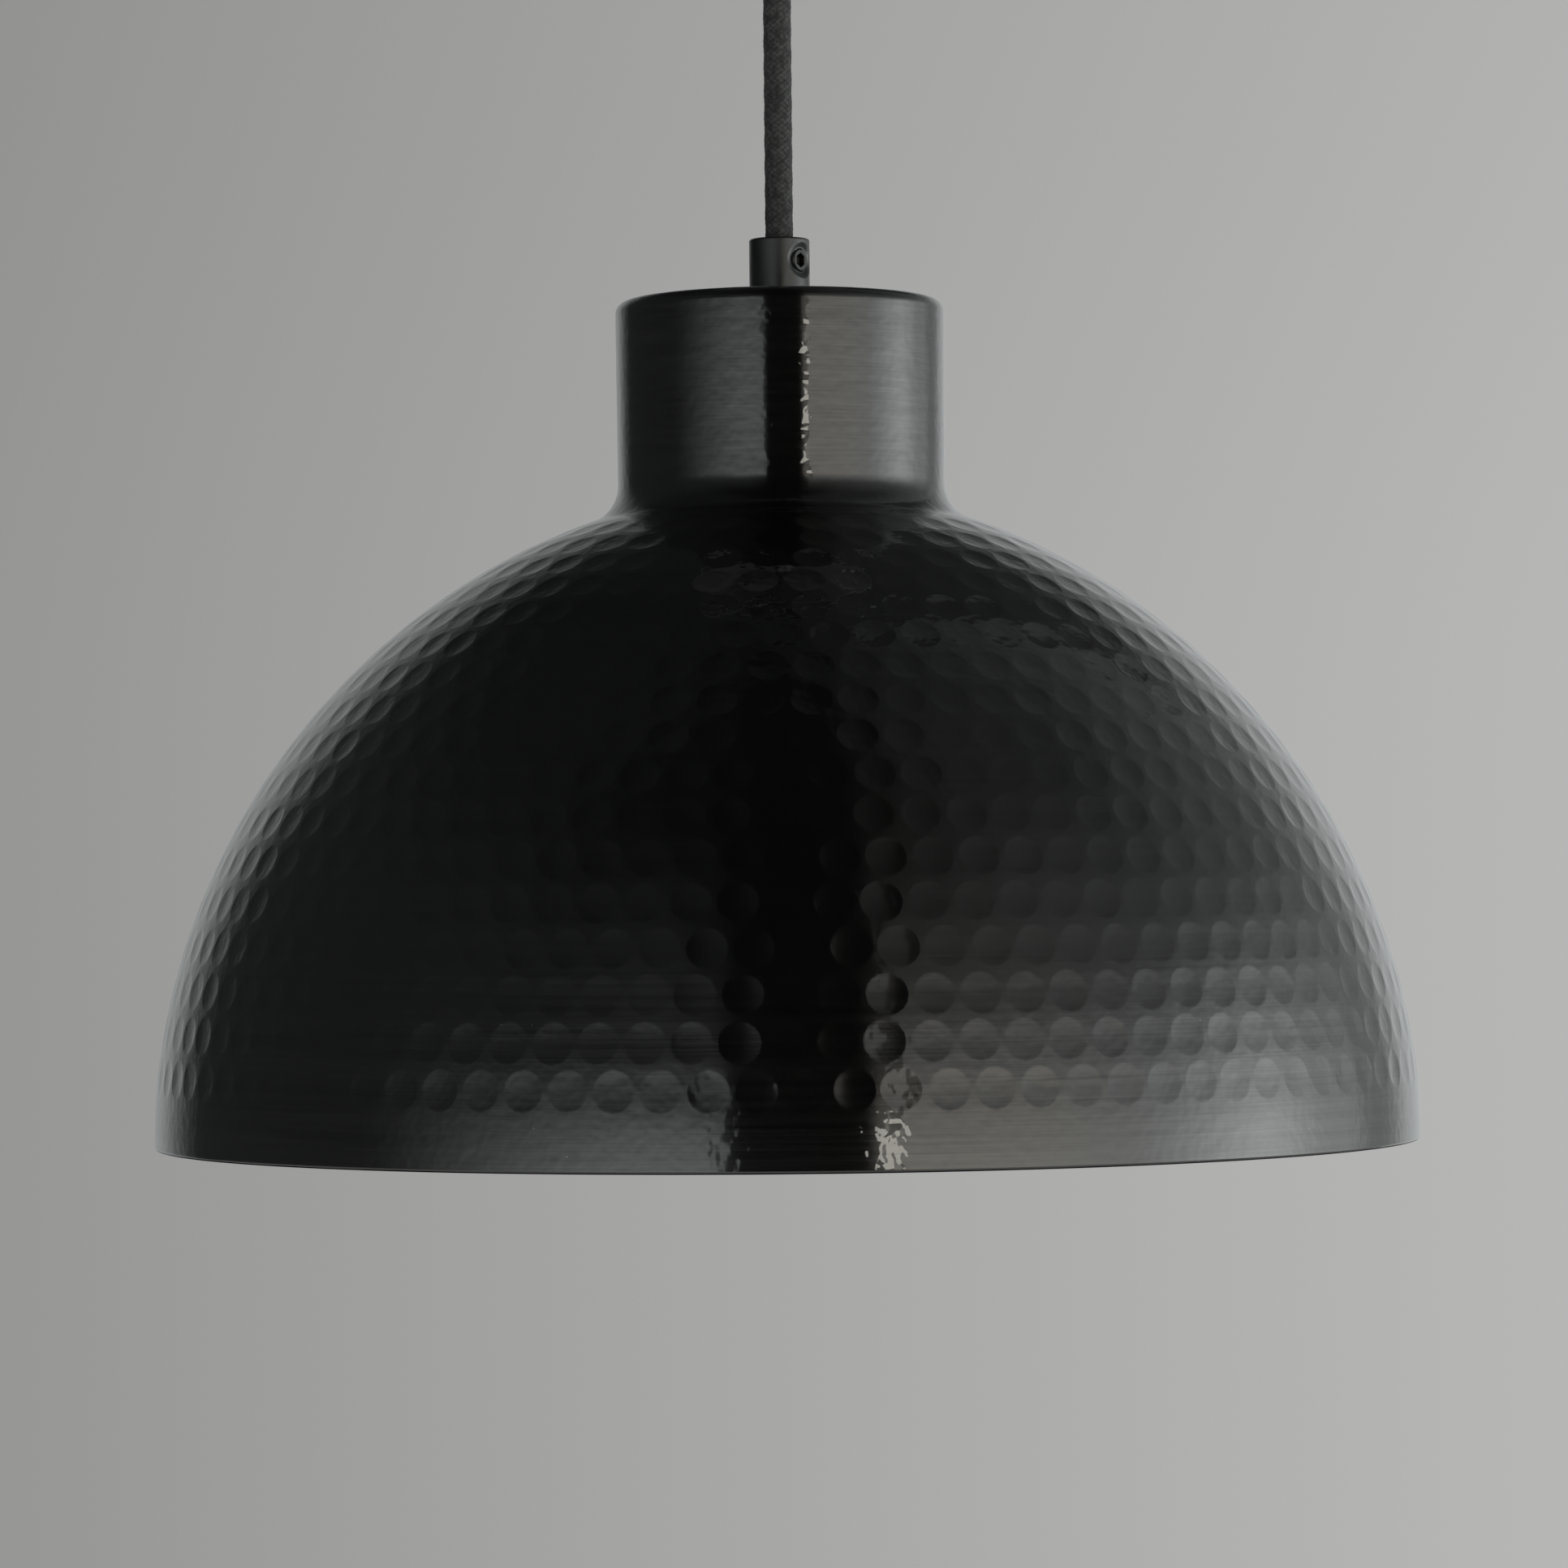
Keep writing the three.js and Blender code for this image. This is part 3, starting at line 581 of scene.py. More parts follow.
def lathe(profile, sides, closed=True):
    """Points and faces of a profile turned about Z. A closed profile runs round its wall, up the outside; an
    open one starts and ends on the axis."""
    turn = np.arange(sides) * 2 * math.pi / sides
    r, z = np.asarray(profile, float).T
    points = around(r, turn, z).reshape(-1, 3)
    index = np.arange(len(points)).reshape(sides, -1)
    quads = grid_faces(index)
    if closed:
        return points, [quads.reshape(-1, 4)]
    beside = np.roll(index, -1, 0)
    low = np.stack([np.full(sides, index[0, 0]), beside[:, 1], index[:, 1]], 1)
    high = np.stack([index[:, -2], beside[:, -2], np.full(sides, index[0, -1])], 1)
    return points, [quads[:, 1:-2].reshape(-1, 4), low, high]


def finish_piece(piece, body, slot, material, *nodes):
    """Gives a piece its material, the body that it moves with and the parts that it stands for."""
    piece.data.materials.append(material)
    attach(piece, body)
    if nodes:
        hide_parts(*nodes)
    return piece


# ---------------------------------------------------------------- cord

def make_cord(name, low, high):
    """A braided sleeve over three twisted cores. The radius falls towards the valleys between the cores, by
    cos(3(angle - turn of the lay)), and rises on the strand that lies on top. Two families of strands run
    round in opposite ways, and each goes over and under the other in turn."""
    around, along = 132, int((high - low) / 0.24)
    turn = np.arange(around) * 2 * math.pi / around
    z = np.linspace(low, high, along)
    t, h = np.meshgrid(turn, z)
    right = BRAID_STRANDS * (t / (2 * math.pi) + h / BRAID_PITCH)
    left = BRAID_STRANDS * (t / (2 * math.pi) - h / BRAID_PITCH)
    over = (np.floor(right) + np.floor(left)) % 2 == 0
    across = np.where(over, right % 1.0, left % 1.0) * 2 - 1
    lengthwise = np.where(over, left % 1.0, right % 1.0) * 2 - 1
    lift = np.sqrt(np.clip(1 - across**2, 0, 1)) * (0.55 + 0.45 * np.cos(lengthwise * math.pi / 2))
    cores = np.cos(3 * (t - 2 * math.pi * h / CORE_LAY))
    radius = CORD_R + CORD_SWELL - CORE_LIFT * (1 - cores) - BRAID_LIFT * (1 - lift)
    points = np.stack([radius * np.cos(t), radius * np.sin(t), h], -1).reshape(-1, 3)
    index = np.arange(around * along).reshape(along, around)
    quads = band(index[:-1], index[1:]).reshape(-1, 4)
    low_fan, high_fan = fan(index[0], len(points))[:, [1, 0, 2]], fan(index[-1], len(points) + 1)
    points = np.concatenate([points, [[0, 0, low], [0, 0, high]]])
    piece = make_piece(name, points, [quads, low_fan, high_fan])
    # Painted shade for the braid's colour: the strands' lift, lower where a strand passes under the other family,
    # so the gaps between strands are painted darker
    painted_strand_shade = np.concatenate([(lift * (0.75 + 0.25 * over)).ravel(), [0.5, 0.5]])
    layer = piece.data.attributes.new("braid_shade", "FLOAT", "POINT")
    layer.data.foreach_set("value", painted_strand_shade.astype(np.float32))
    return piece


# ---------------------------------------------------------------- cord grips

def sink(rho):
    """The depth of the dished hole for the set screw, at a distance from its middle: flat out to the screw, then
    a cone with rounded edges up to the grip's wall."""
    t = np.clip((SINK_R - rho) / (SINK_R - GRIP_SCREW_R - 0.25), 0, 1)
    soft = t * t * (3 - 2 * t)
    return SINK_DEPTH * (0.55 * t + 0.45 * soft)


def make_grip(name, foot, way):
    """A cord grip: a turned body whose wall has a window for the dished hole of the set screw, filled by
    circles round the hole. The wall at angle a and height h is at (R - depth) (cos a, sin a)."""
    columns = 96
    half_turn = GRIP_WINDOW / GRIP_R
    free = np.linspace(GRIP_SCREW_TURN + half_turn, GRIP_SCREW_TURN + 2 * math.pi - half_turn, columns)
    ticks = np.linspace(-1, 1, 13)
    turn = np.concatenate([free, GRIP_SCREW_TURN + ticks[1:-1] * half_turn])
    foot_bevel = arc(GRIP_R - 0.4, 0.4, 0.4, -90, 0, 5)
    wall = [[GRIP_R, GRIP_SCREW_H + tick * GRIP_WINDOW] for tick in ticks]
    bevel = arc(GRIP_R - 0.5, GRIP_H - 0.5, 0.5, 0, 90, 6)
    inner = rounded([[GRIP_MOUTH_R, GRIP_H], [GRIP_THROAT_R, GRIP_PIVOT_H], [GRIP_THROAT_R, GRIP_SEAT],
                     [HOLE_R, GRIP_SEAT], [HOLE_R, 0.0]], 0.3)[5:-5]
    profile = np.concatenate(
        [foot_bevel, wall, bevel, [[GRIP_MOUTH_R + 0.3, GRIP_H]], inner, [[HOLE_R, 0.0]]])
    sides, rows = len(turn), len(profile)
    points = around(profile[:, 0], turn, profile[:, 1]).reshape(-1, 3)
    index = np.arange(sides * rows).reshape(sides, rows)
    first_row = len(foot_bevel)
    hole = np.zeros((sides, rows), bool)
    hole[columns - 1 :, first_row : first_row + len(ticks) - 1] = True
    faces = [grid_faces(index)[~hole]]
    grid = index[np.append(np.arange(columns - 1, sides), 0)][:, first_row : first_row + len(ticks)]
    edge = np.concatenate([grid[:-1, 0], grid[-1, :-1], grid[:0:-1, -1], grid[0, :0:-1]])
    edge_turn = (azimuth_of(points[edge]) - GRIP_SCREW_TURN + math.pi) % (2 * math.pi) - math.pi
    about = np.arctan2(points[edge, 2] - GRIP_SCREW_H, edge_turn * GRIP_R)
    previous = edge
    for rho in GRIP_HOLE_CIRCLES:
        a = GRIP_SCREW_TURN + np.arcsin(rho * np.cos(about) / GRIP_R)
        radius = GRIP_R - sink(rho) - (GRIP_WELL if rho < 3.0 else 0.0)
        new = len(points) + np.arange(len(edge))
        ring = np.stack([radius * np.cos(a), radius * np.sin(a), GRIP_SCREW_H + rho * np.sin(about)], 1)
        points = np.concatenate([points, ring])
        faces.append(band(previous, new))
        previous = new
    faces.append(fan(previous, len(points)))
    depth = GRIP_R - SINK_DEPTH - GRIP_WELL
    middle = [depth * math.cos(GRIP_SCREW_TURN), depth * math.sin(GRIP_SCREW_TURN), GRIP_SCREW_H]
    points = np.concatenate([points, [middle]]) * [1.0, way, way] + [0.0, 0.0, foot]
    return crisp_piece(name, points, faces, 50.0)


def make_set_screw(name, foot, way):
    """A set screw with a chamfered face and a hexagon socket. Its radius at an angle is a blend from the circle
    of its edge to the hexagon, whose radius is half its flats over the cosine of the angle to the nearest flat."""
    sides = 72
    a = np.arange(sides) * 2 * math.pi / sides
    sector = math.pi / 3
    hexagon = SOCKET_FLATS / 2 / np.cos((a + sector / 2) % sector - sector / 2)
    face, edge = GRIP_R - 0.8, np.full(sides, GRIP_SCREW_R)
    rings = [(edge - 0.1, 4.0), (edge, 4.0), (edge, face - 0.35), (edge - 0.35, face), (hexagon + 0.2, face),
             (hexagon, face - 0.15), (hexagon, face - 1.6), (hexagon * 0.1, face - 1.9)]
    out, y, z = np.concatenate(
        [[np.full(sides, x), r * np.cos(a), r * np.sin(a) + GRIP_SCREW_H] for r, x in rings], 1)
    index = np.arange(len(out)).reshape(-1, sides)
    faces = [band(index[:-1], index[1:]).reshape(-1, 4), index[-1:], index[:1, ::-1]]
    c, s = math.cos(GRIP_SCREW_TURN), math.sin(GRIP_SCREW_TURN)
    points = np.stack([out * c - y * s, out * s + y * c, z], 1) * [1.0, way, way] + [0.0, 0.0, foot]
    return crisp_piece(name, points, faces, 30.0)


# ---------------------------------------------------------------- rose, lampholder and bulb

def make_rose_cover():
    """The ceiling cup: a turned sheet with a rounded lower edge and a bored middle."""
    centre = -ROSE_H + ROSE_FILLET
    outer = arc(ROSE_R - ROSE_FILLET, centre, ROSE_FILLET, -90, 0, 14)
    inner = arc(ROSE_R - ROSE_FILLET, centre, ROSE_FILLET - SHEET, 0, -90, 14)
    edge = arc(ROSE_R - SHEET / 2, -0.5 - SHEET / 2, SHEET / 2, 0, 180, 9)
    profile = np.concatenate([[[HOLE_R, -ROSE_H]], outer, edge, inner, [[HOLE_R, -ROSE_H + SHEET]]])
    return crisp_piece("rose_cup", *lathe(profile, 160))


def make_cover_screw(name, side):
    """A pan-head screw with a domed head, and a slot cut across it as a dip in the head's height."""
    face = ROSE_R + 0.05
    x = np.linspace(-1, 1, 49) * COVER_HEAD_R
    u, v = np.meshgrid(x, x)
    square, circle = np.maximum(np.abs(u), np.abs(v)), np.hypot(u, v)
    scale = np.where(circle > 0, square / np.maximum(circle, 1e-9), 1)
    u, v = u * scale, v * scale
    dome = face + COVER_HEAD_T * np.sqrt(np.clip(1 - 0.82 * (np.hypot(u, v) / COVER_HEAD_R) ** 4, 0, 1))
    slot = np.clip((0.48 - np.abs(u)) / 0.16, 0, 1) * np.clip((2.9 - np.abs(v)) / 0.5, 0, 1)
    top = dome - 0.9 * slot
    n = len(x)
    index = np.arange(n * n).reshape(n, n)
    quads = np.stack([index[:-1, :-1], index[:-1, 1:], index[1:, 1:], index[1:, :-1]], -1).reshape(-1, 4)
    rim = np.concatenate([index[0, :-1], index[:-1, -1], index[-1, :0:-1], index[:0:-1, 0]])
    points = np.stack([top.ravel(), u.ravel(), v.ravel()], 1)
    faces, previous = [quads], rim
    shank = ((COVER_HEAD_R, face + 0.25), (COVER_HEAD_R - 0.2, face), (COVER_SHANK_R, face),
             (COVER_SHANK_R, 44.0), (COVER_SHANK_R - 0.4, 43.5))
    for r, at in shank:
        ring = points[rim] * [0, r / COVER_HEAD_R, r / COVER_HEAD_R] + [at, 0, 0]
        new = len(points) + np.arange(len(rim))
        points = np.concatenate([points, ring])
        faces.append(band(previous, new)[:, TURN_OVER])
        previous = new
    faces.append(previous[None, ::-1])
    points = points * [side, 1, 1] + [0, 0, COVER_SCREW_Z]
    if side < 0:
        faces = [f[:, ::-1] for f in faces]
    return crisp_piece(name, points, faces, 40.0)


def make_holder_cap():
    """The lampholder's cap: a moulded bell with a collar."""
    points = [
        [17.7, 182.3], [HOLDER_R, 182.3], [HOLDER_R, 186.0], [18.0, 190.4], [15.0, 194.4], [11.0, 197.6],
        [8.6, 200.5], [8.6, 206.8], [HOLE_R, 206.8], [HOLE_R, 198.4], [9.6, 196.2], [13.6, 192.9],
        [16.2, 189.6], [17.7, 186.0],
    ]
    profile = rounded(points, 0.9)
    profile[:, 1] += RIM_Z
    return crisp_piece("holder_bell", *lathe(profile, 96))


def make_holder_body():
    """The lampholder's barrel: its wall is fluted for the fingers, with a radius that dips by the fourth power
    of a cosine of the angle, faded out at both ends of the fluted stretch."""
    points = [
        [14.3, 150.0], [17.9, 150.0], [18.7, 151.0], [HOLDER_R, 156.0], [HOLDER_R, 161.0], [HOLDER_R, 166.0],
        [HOLDER_R, 171.0], [HOLDER_R, 176.0], [HOLDER_R, 182.0], [17.4, 182.0], [17.4, 186.5], [15.3, 186.5],
        [15.3, 177.0], [14.3, 177.0],
    ]
    profile = rounded(points, 0.4)
    profile[:, 1] += RIM_Z
    vertices, faces = lathe(profile, 288)
    r, h, turn = np.hypot(*vertices.T[:2]), vertices[:, 2] - RIM_Z, azimuth_of(vertices)
    fade = np.clip((h - 155) / 3, 0, 1) * np.clip((180 - h) / 2, 0, 1) * (r > 19)
    flute = 0.5 * (0.5 + 0.5 * np.cos(48 * turn)) ** 2 * fade
    vertices[:, :2] *= ((r - flute) / r)[:, None]
    return crisp_piece("holder_barrel", vertices, faces)


def make_bulb_glass():
    """The bulb's glass: a ball drawn in to a neck along a smooth curve, with a wall of even thickness."""
    ball = arc(0, BULB_MIDDLE, BULB_R, -90, BULB_SHOULDER_DEG, 60)
    start = ball[-1]
    lean = math.radians(BULB_SHOULDER_DEG + 90)
    t = np.linspace(0, 1, 22)[1:, None]
    a = start + 13 * np.array([math.cos(lean), math.sin(lean)])
    b, end = np.array([BULB_NECK_R, 133.0]), np.array([BULB_NECK_R, 146.0])
    flare = (1 - t) ** 3 * start + 3 * (1 - t) ** 2 * t * a + 3 * (1 - t) * t**2 * b + t**3 * end
    outer = np.concatenate([ball, flare, [[BULB_NECK_R, BULB_TOP]]])
    slope = np.gradient(outer, axis=0)
    slope /= np.hypot(*slope.T)[:, None]
    inner = outer - BULB_WALL * np.stack([slope[:, 1], -slope[:, 0]], 1)
    inner[0] = [0.0, BULB_MIDDLE - BULB_R + BULB_WALL]
    inner[-1, 1] = BULB_TOP
    profile = np.concatenate([outer, inner[::-1]])
    profile[:, 0] = np.maximum(profile[:, 0], 0)
    profile[:, 1] += RIM_Z
    return crisp_piece("clear_globe", *lathe(profile, 96, closed=False))


def make_bulb_cap():
    """The bulb's screw cap: a thin tube whose radius follows a helix, mean plus a cosine of the height over the
    pitch less the angle over a turn, faded out into plain ends."""
    sides = 96
    h = np.linspace(CAP_LOW, CAP_HIGH, 110)
    turn = np.arange(sides) * 2 * math.pi / sides
    t, z = np.meshgrid(turn, h, indexing="ij")
    rise = np.clip((z - CAP_LOW - 2.5) / 1.5, 0, 1)
    fade = rise * np.clip((CAP_HIGH - 1.5 - z) / 1.0, 0, 1)
    thread = 0.34 * (1 + np.cos(2 * math.pi * (z / CAP_PITCH - t / (2 * math.pi))))
    outer = np.minimum(CAP_R - 0.65 * rise + thread * fade, CAP_R + 0.05)
    radius = np.concatenate([outer, np.full((sides, 2), CAP_BORE_R)], 1)
    points = around(radius, turn, np.concatenate([h, [CAP_HIGH, CAP_LOW]]) + RIM_Z)
    faces = grid_faces(np.arange(radius.size).reshape(radius.shape))
    return crisp_piece("screw_cap", points.reshape(-1, 3), [faces.reshape(-1, 4)])


# ---------------------------------------------------------------- finishes

def new_group(name, inputs, outputs):
    """An empty node group with number inputs, given with their defaults, and number outputs."""
    tree = bpy.data.node_groups.new(name, "ShaderNodeTree")
    for label, default in inputs:
        socket = tree.interface.new_socket(name=label, in_out="INPUT", socket_type="NodeSocketFloat")
        socket.default_value = default
    for label in outputs:
        tree.interface.new_socket(name=label, in_out="OUTPUT", socket_type="NodeSocketFloat")
    g = Graph(tree)
    return g, g.node("NodeGroupInput"), g.node("NodeGroupOutput")


def surface_group():
    """Handling and grain: Cloud is a slow blotch, Grain a fine tooth, and Specks a sparse scatter of dust."""
    g, given, out = new_group("handling_and_grain", [("Cloud Scale", 60.0), ("Grain Scale", 1500.0)],
                              ["Cloud", "Grain", "Specks"])
    where = g.node("ShaderNodeTexCoord").outputs["Object"]
    cloud = g.noise(where, 1.0, 3.0)
    grain = g.noise(where, 1.0, 2.0, 0.6)
    g.link(given.outputs["Cloud Scale"], cloud.node.inputs["Scale"])
    g.link(given.outputs["Grain Scale"], grain.node.inputs["Scale"])
    dots = g.node("ShaderNodeTexVoronoi")
    g.link(where, dots.inputs["Vector"])
    dots.inputs["Scale"].default_value = 260.0
    chance = g.node("ShaderNodeSeparateColor")
    g.link(dots.outputs["Color"], chance.inputs[0])
    near = g.span(dots.outputs["Distance"], 0.02, 0.05, 1.0, 0.0)
    rare = g.span(chance.outputs[0], 0.86, 0.87)
    g.link(g.span(cloud, 0.3, 0.7), out.inputs["Cloud"])
    g.link(grain, out.inputs["Grain"])
    g.link(g.times(near, rare), out.inputs["Specks"])
    return g.tree


def brush_group():
    """Brushing round the axis: noise on the unit direction from the axis and the length up the outline, long
    round the piece and fine across it. Fine is a thin streak, Broad a wider band of tone, Line a rare groove."""
    g, given, out = new_group("brushed_round_the_axis", [("Turns", 5.0), ("Fine", 900.0), ("Broad", 240.0)],
                              ["Fine", "Broad", "Line"])
    xyz = g.node("ShaderNodeSeparateXYZ")
    g.link(g.node("ShaderNodeTexCoord").outputs["Object"], xyz.inputs[0])
    x, y, z = xyz.outputs
    r = g.math("SQRT", g.plus(g.times(x, x), g.times(y, y)))
    up = g.math("SUBTRACT", z, r)

    def streak(scale, turns, offset):
        place = g.node("ShaderNodeCombineXYZ")
        g.link(g.times(g.math("DIVIDE", x, r), turns), place.inputs[0])
        g.link(g.times(g.math("DIVIDE", y, r), turns), place.inputs[1])
        g.link(g.plus(g.times(up, scale), offset), place.inputs[2])
        return g.noise(place.outputs[0], 1.0, 2.0, 0.6)

    turns = given.outputs["Turns"]
    g.link(streak(given.outputs["Fine"], turns, 0.0), out.inputs["Fine"])
    g.link(streak(given.outputs["Broad"], turns, 37.0), out.inputs["Broad"])
    line = streak(g.times(given.outputs["Fine"], 0.5), g.times(turns, 0.35), 91.0)
    g.link(g.span(line, 0.68, 0.74), out.inputs["Line"])
    return g.tree


class Finish(Graph):
    """A material with a Principled shader, its plain values set on the shader's own sockets."""

    def __init__(self, name, colour, **values):
        self.material = bpy.data.materials.new(name)
        self.material.use_nodes = True
        super().__init__(self.material.node_tree)
        self.shader = self.tree.nodes["Principled BSDF"]
        self.colour = tuple(colour) + (1.0,)
        self.shader.inputs["Base Color"].default_value = self.colour
        for label, value in values.items():
            self.shader.inputs[label.replace("_", " ")].default_value = value

    def group(self, tree, **values):
        made = self.node("ShaderNodeGroup", node_tree=tree)
        for label, value in values.items():
            made.inputs[label.replace("_", " ")].default_value = value
        return made.outputs

    def vary(self, mask, low, high):
        """Base colour between a low and a high multiple of the finish's own colour, by a mask."""
        a = tuple(min(c * low, 1.0) for c in self.colour[:3]) + (1.0,)
        b = tuple(min(c * high, 1.0) for c in self.colour[:3]) + (1.0,)
        return self.mix(mask, a, b)

    def paint(self, colour):
        self.link(colour, self.shader.inputs["Base Color"])

    def rough(self, mask, low, high):
        self.link(self.span(mask, 0.25, 0.75, low, high, smooth=False), self.shader.inputs["Roughness"])

    def bump(self, height, depth, socket="Normal"):
        made = self.node("ShaderNodeBump")
        made.inputs["Distance"].default_value = depth
        self.link(height, made.inputs["Height"])
        self.link(made.outputs[0], self.shader.inputs[socket])


def lacquered_nickel(brush, surface):
    """Dark nickel brushed round the axis, under a clear glossy lacquer with a slight ripple and a little dust."""
    f = Finish("lacquered_dark_nickel", (0.150, 0.150, 0.147), Metallic=1.0, Roughness=0.2, Anisotropic=1.0,
               Anisotropic_Rotation=0.25, Coat_Weight=1.0, Coat_Roughness=0.008, Coat_IOR=2.1)
    f.link(f.node("ShaderNodeTangent", direction_type="RADIAL", axis="Z").outputs[0], f.shader.inputs["Tangent"])
    streaks = f.group(brush, Turns=2.2, Fine=1500.0, Broad=420.0)
    handled = f.group(surface, Cloud_Scale=18.0, Grain_Scale=1300.0)
    tone = f.share(streaks["Fine"], streaks["Broad"], 0.5)
    where = f.node("ShaderNodeTexCoord").outputs["Object"]
    up = f.node("ShaderNodeSeparateXYZ")
    f.link(where, up.inputs[0])
    # The brushing shows most on the plain band and on the neck
    plain = f.span(up.outputs[2], (RIM_Z + 14) * MM, (RIM_Z + 60) * MM, 1.0, 0.3)
    plain = f.math("MAXIMUM", plain, f.span(up.outputs[2], (RIM_Z + 164) * MM, (RIM_Z + 172) * MM))
    tone = f.plus(0.5, f.times(f.math("SUBTRACT", tone, 0.5), plain))
    colour = f.vary(f.span(tone, 0.3, 0.7), 0.76, 1.24)
    colour = f.mix(f.times(streaks["Line"], plain, 0.5), colour, (0.05, 0.048, 0.045, 1.0))
    f.paint(f.mix(handled["Specks"], colour, (0.75, 0.74, 0.72, 1.0)))
    f.rough(f.share(tone, handled["Cloud"], 0.75), 0.17, 0.26)
    f.bump(tone, 0.00006)
    f.bump(f.noise(where, 300.0, 1.0), 0.00013, "Coat Normal")
    return f.material


def metal(name, colour, roughness, surface, spread=0.08, grain=0.000015, cloud=60.0):
    """Plain metal with blotches of handling in its gloss and tone, and a fine tooth."""
    f = Finish(name, colour, Metallic=1.0, Roughness=roughness)
    handled = f.group(surface, Cloud_Scale=cloud, Grain_Scale=2600.0)
    f.paint(f.mix(handled["Specks"], f.vary(handled["Cloud"], 0.86, 1.14), (0.6, 0.6, 0.58, 1.0)))
    f.rough(f.share(handled["Cloud"], handled["Grain"], 0.6), roughness - spread, roughness + spread)
    f.bump(handled["Grain"], grain)
    return f.material


def moulded(name, colour, roughness, surface, coat=0.0, grain=0.00002):
    """Moulded or glazed stuff: a faint mottle in its tone and gloss, and the tooth of its mould."""
    f = Finish(name, colour, Roughness=roughness, Coat_Weight=coat, Coat_Roughness=0.08)
    handled = f.group(surface, Cloud_Scale=90.0, Grain_Scale=1900.0)
    f.paint(f.mix(handled["Specks"], f.vary(handled["Cloud"], 0.9, 1.1), (0.5, 0.5, 0.48, 1.0)))
    f.rough(handled["Grain"], roughness - 0.06, roughness + 0.06)
    f.bump(handled["Grain"], grain)
    return f.material


def braided_textile(surface, woven):
    """Charcoal yarn, flecked, with a soft sheen. The woven one gets painted shade: lighter on the tops of the
    strands, darker in the gaps between them.
    """
    f = Finish("charcoal_braid" if woven else "charcoal_braid_plain", (0.17, 0.175, 0.171), Roughness=0.9,
               Sheen_Weight=0.35, Sheen_Roughness=0.5)
    handled = f.group(surface, Cloud_Scale=700.0, Grain_Scale=5200.0)
    fleck = f.share(handled["Grain"], handled["Cloud"], 0.6)
    colour = f.vary(f.span(fleck, 0.3, 0.7), 0.62, 1.5)
    if woven:
        # Painted shade: the strand mask mixes toward a dark colour in the gaps and on strands that pass under
        high = f.node("ShaderNodeAttribute", attribute_name="braid_shade").outputs["Fac"]
        colour = f.mix(f.span(high, 0.1, 0.75), (0.085, 0.087, 0.086, 1.0), colour)
    f.paint(colour)
    f.rough(fleck, 0.82, 0.98)
    f.bump(handled["Grain"], 0.00009)
    return f.material


def clear_glass(surface):
    """Clear thin glass, faintly uneven."""
    f = Finish("clear_bulb_glass", (0.98, 0.99, 0.99), Roughness=0.0, IOR=1.45, Transmission_Weight=1.0)
    handled = f.group(surface, Cloud_Scale=40.0, Grain_Scale=300.0)
    f.rough(handled["Cloud"], 0.0, 0.03)
    f.bump(handled["Cloud"], 0.00004)
    return f.material


def wire_skin(name, colour, stripe, surface):
    """Extruded wire insulation, with a stripe that winds round the earth wire."""
    f = Finish(name, colour, Roughness=0.38)
    handled = f.group(surface, Cloud_Scale=240.0, Grain_Scale=3000.0)
    tone = f.vary(handled["Cloud"], 0.85, 1.15)
    if stripe:
        xyz = f.node("ShaderNodeSeparateXYZ")
        f.link(f.node("ShaderNodeTexCoord").outputs["Object"], xyz.inputs[0])
        wave = f.math("SINE", f.times(f.plus(xyz.outputs[0], xyz.outputs[2]), 900.0))
        tone = f.mix(f.span(wave, 0.0, 0.2), tone, (0.75, 0.6, 0.02, 1.0))
    f.paint(tone)
    f.rough(handled["Grain"], 0.32, 0.46)
    f.bump(handled["Grain"], 0.00001)
    return f.material


# ---------------------------------------------------------------- the lamp

make_camera()
surface = surface_group()
brush = brush_group()
cord = make_cord("cord_sleeve", CORD_FOOT - CORD_TUCK, CORD_TOP + CORD_TUCK)
finish_piece(cord, "cord", "cord_textile", braided_textile(surface, True), "cord")
make_sky()
make_floor()

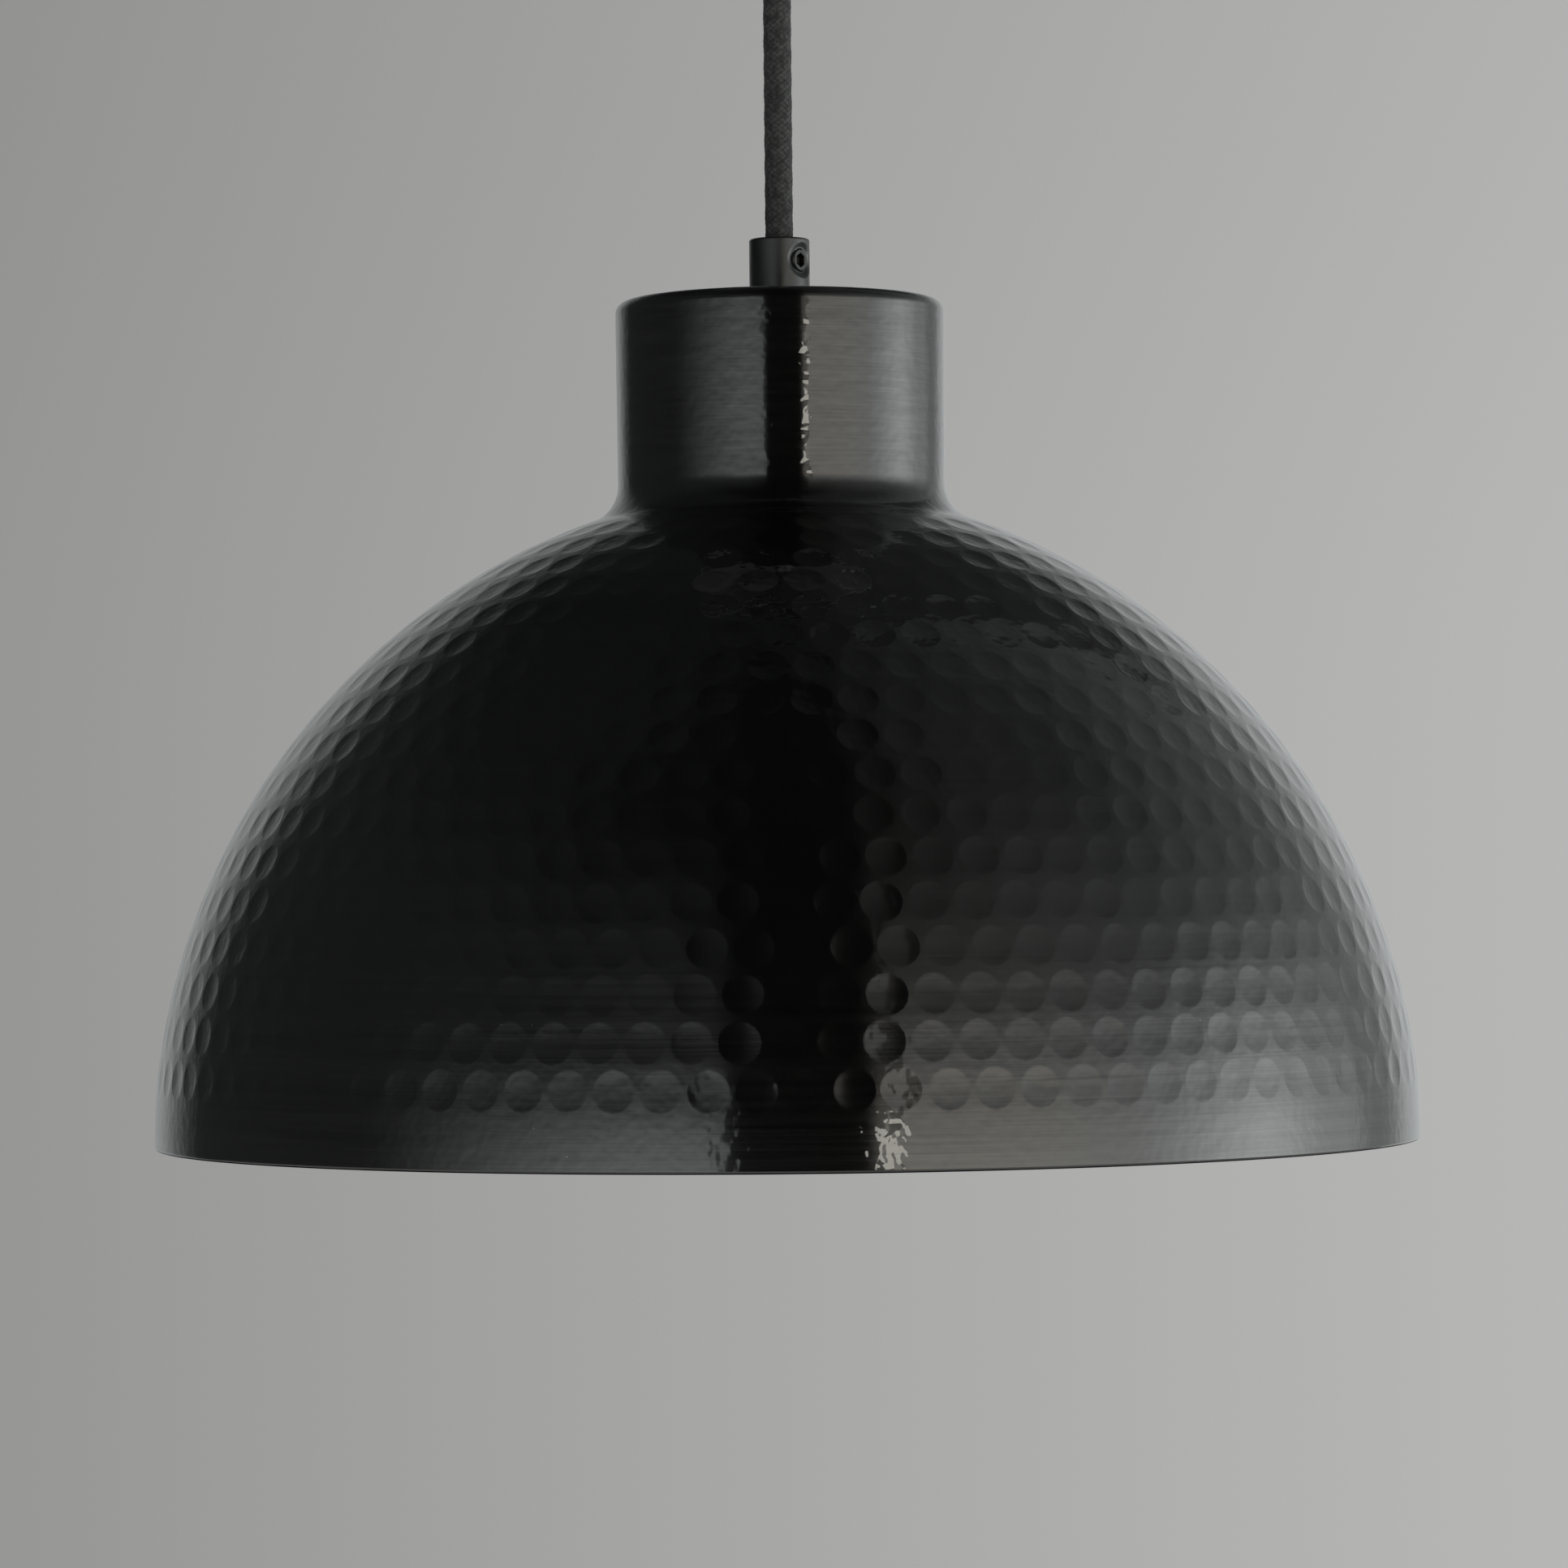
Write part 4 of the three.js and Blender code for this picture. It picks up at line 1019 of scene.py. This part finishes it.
gunmetal = metal("satin_gunmetal", (0.2, 0.202, 0.2), 0.36, surface)
black_steel = metal("blackened_steel", (0.13, 0.13, 0.128), 0.34, surface)
slot_finish = {
    "fitting_metal": gunmetal,
    "screw_steel": black_steel,
    "zinc_steel": metal("bright_zinc", (0.62, 0.63, 0.65), 0.3, surface, cloud=140.0),
    "brass": metal("turned_brass", (0.72, 0.53, 0.25), 0.26, surface, cloud=120.0),
    "bulb_cap_metal": metal("pressed_nickel", (0.74, 0.73, 0.7), 0.22, surface, cloud=90.0),
    "black_phenolic": moulded("black_phenolic", (0.018, 0.017, 0.017), 0.34, surface),
    "white_nylon": moulded("white_nylon", (0.78, 0.77, 0.72), 0.5, surface),
    "ceramic": moulded("glazed_ceramic", (0.8, 0.78, 0.72), 0.3, surface, coat=0.6),
    "filament_phosphor": moulded("phosphor_strip", (0.83, 0.52, 0.1), 0.7, surface),
    "cord_textile": braided_textile(surface, False),
    "bulb_glass": clear_glass(surface),
    "wire_live": wire_skin("brown_wire", (0.16, 0.06, 0.025), False, surface),
    "wire_neutral": wire_skin("blue_wire", (0.02, 0.1, 0.42), False, surface),
    "wire_earth": wire_skin("green_wire", (0.05, 0.3, 0.04), True, surface),
}
shade_finish = lacquered_nickel(brush, surface)
slot_finish["shade_metal"] = shade_finish

finish_piece(make_shade(), "lamp", "shade_metal", shade_finish, "shade")
lamp_foot = RIM_Z + SHADE_H
for prefix, body, foot, way in (("lamp", "lamp", lamp_foot, 1.0), ("rose", "cover", -ROSE_H, -1.0)):
    grip = make_grip(prefix + "_cord_grip", foot, way)
    finish_piece(grip, body, "fitting_metal", gunmetal, prefix + "_grip")
    screw = make_set_screw(prefix + "_set_screw", foot, way)
    finish_piece(screw, body, "screw_steel", black_steel, prefix + "_grip_screw")
finish_piece(make_rose_cover(), "cover", "fitting_metal", gunmetal, "rose_cover")
for side, word in ((1.0, "right"), (-1.0, "left")):
    screw = make_cover_screw("cup_screw_" + word, side)
    finish_piece(screw, "cover", "fitting_metal", black_steel, "cover_screw_" + word)
finish_piece(make_holder_cap(), "lamp", "black_phenolic", slot_finish["black_phenolic"], "lampholder_cap")
finish_piece(make_holder_body(), "lamp", "black_phenolic", slot_finish["black_phenolic"], "lampholder_body")
finish_piece(make_bulb_glass(), "bulb", "bulb_glass", slot_finish["bulb_glass"], "bulb_glass")
finish_piece(make_bulb_cap(), "bulb", "bulb_cap_metal", slot_finish["bulb_cap_metal"], "bulb_cap")

for row in frame["record"]["subparts"]:
    materials = frame["nodes"][row["node"]].data.materials
    materials.clear()
    materials.append(slot_finish[row["material_slot"]])

bpy.context.scene.view_settings.view_transform = "Standard"
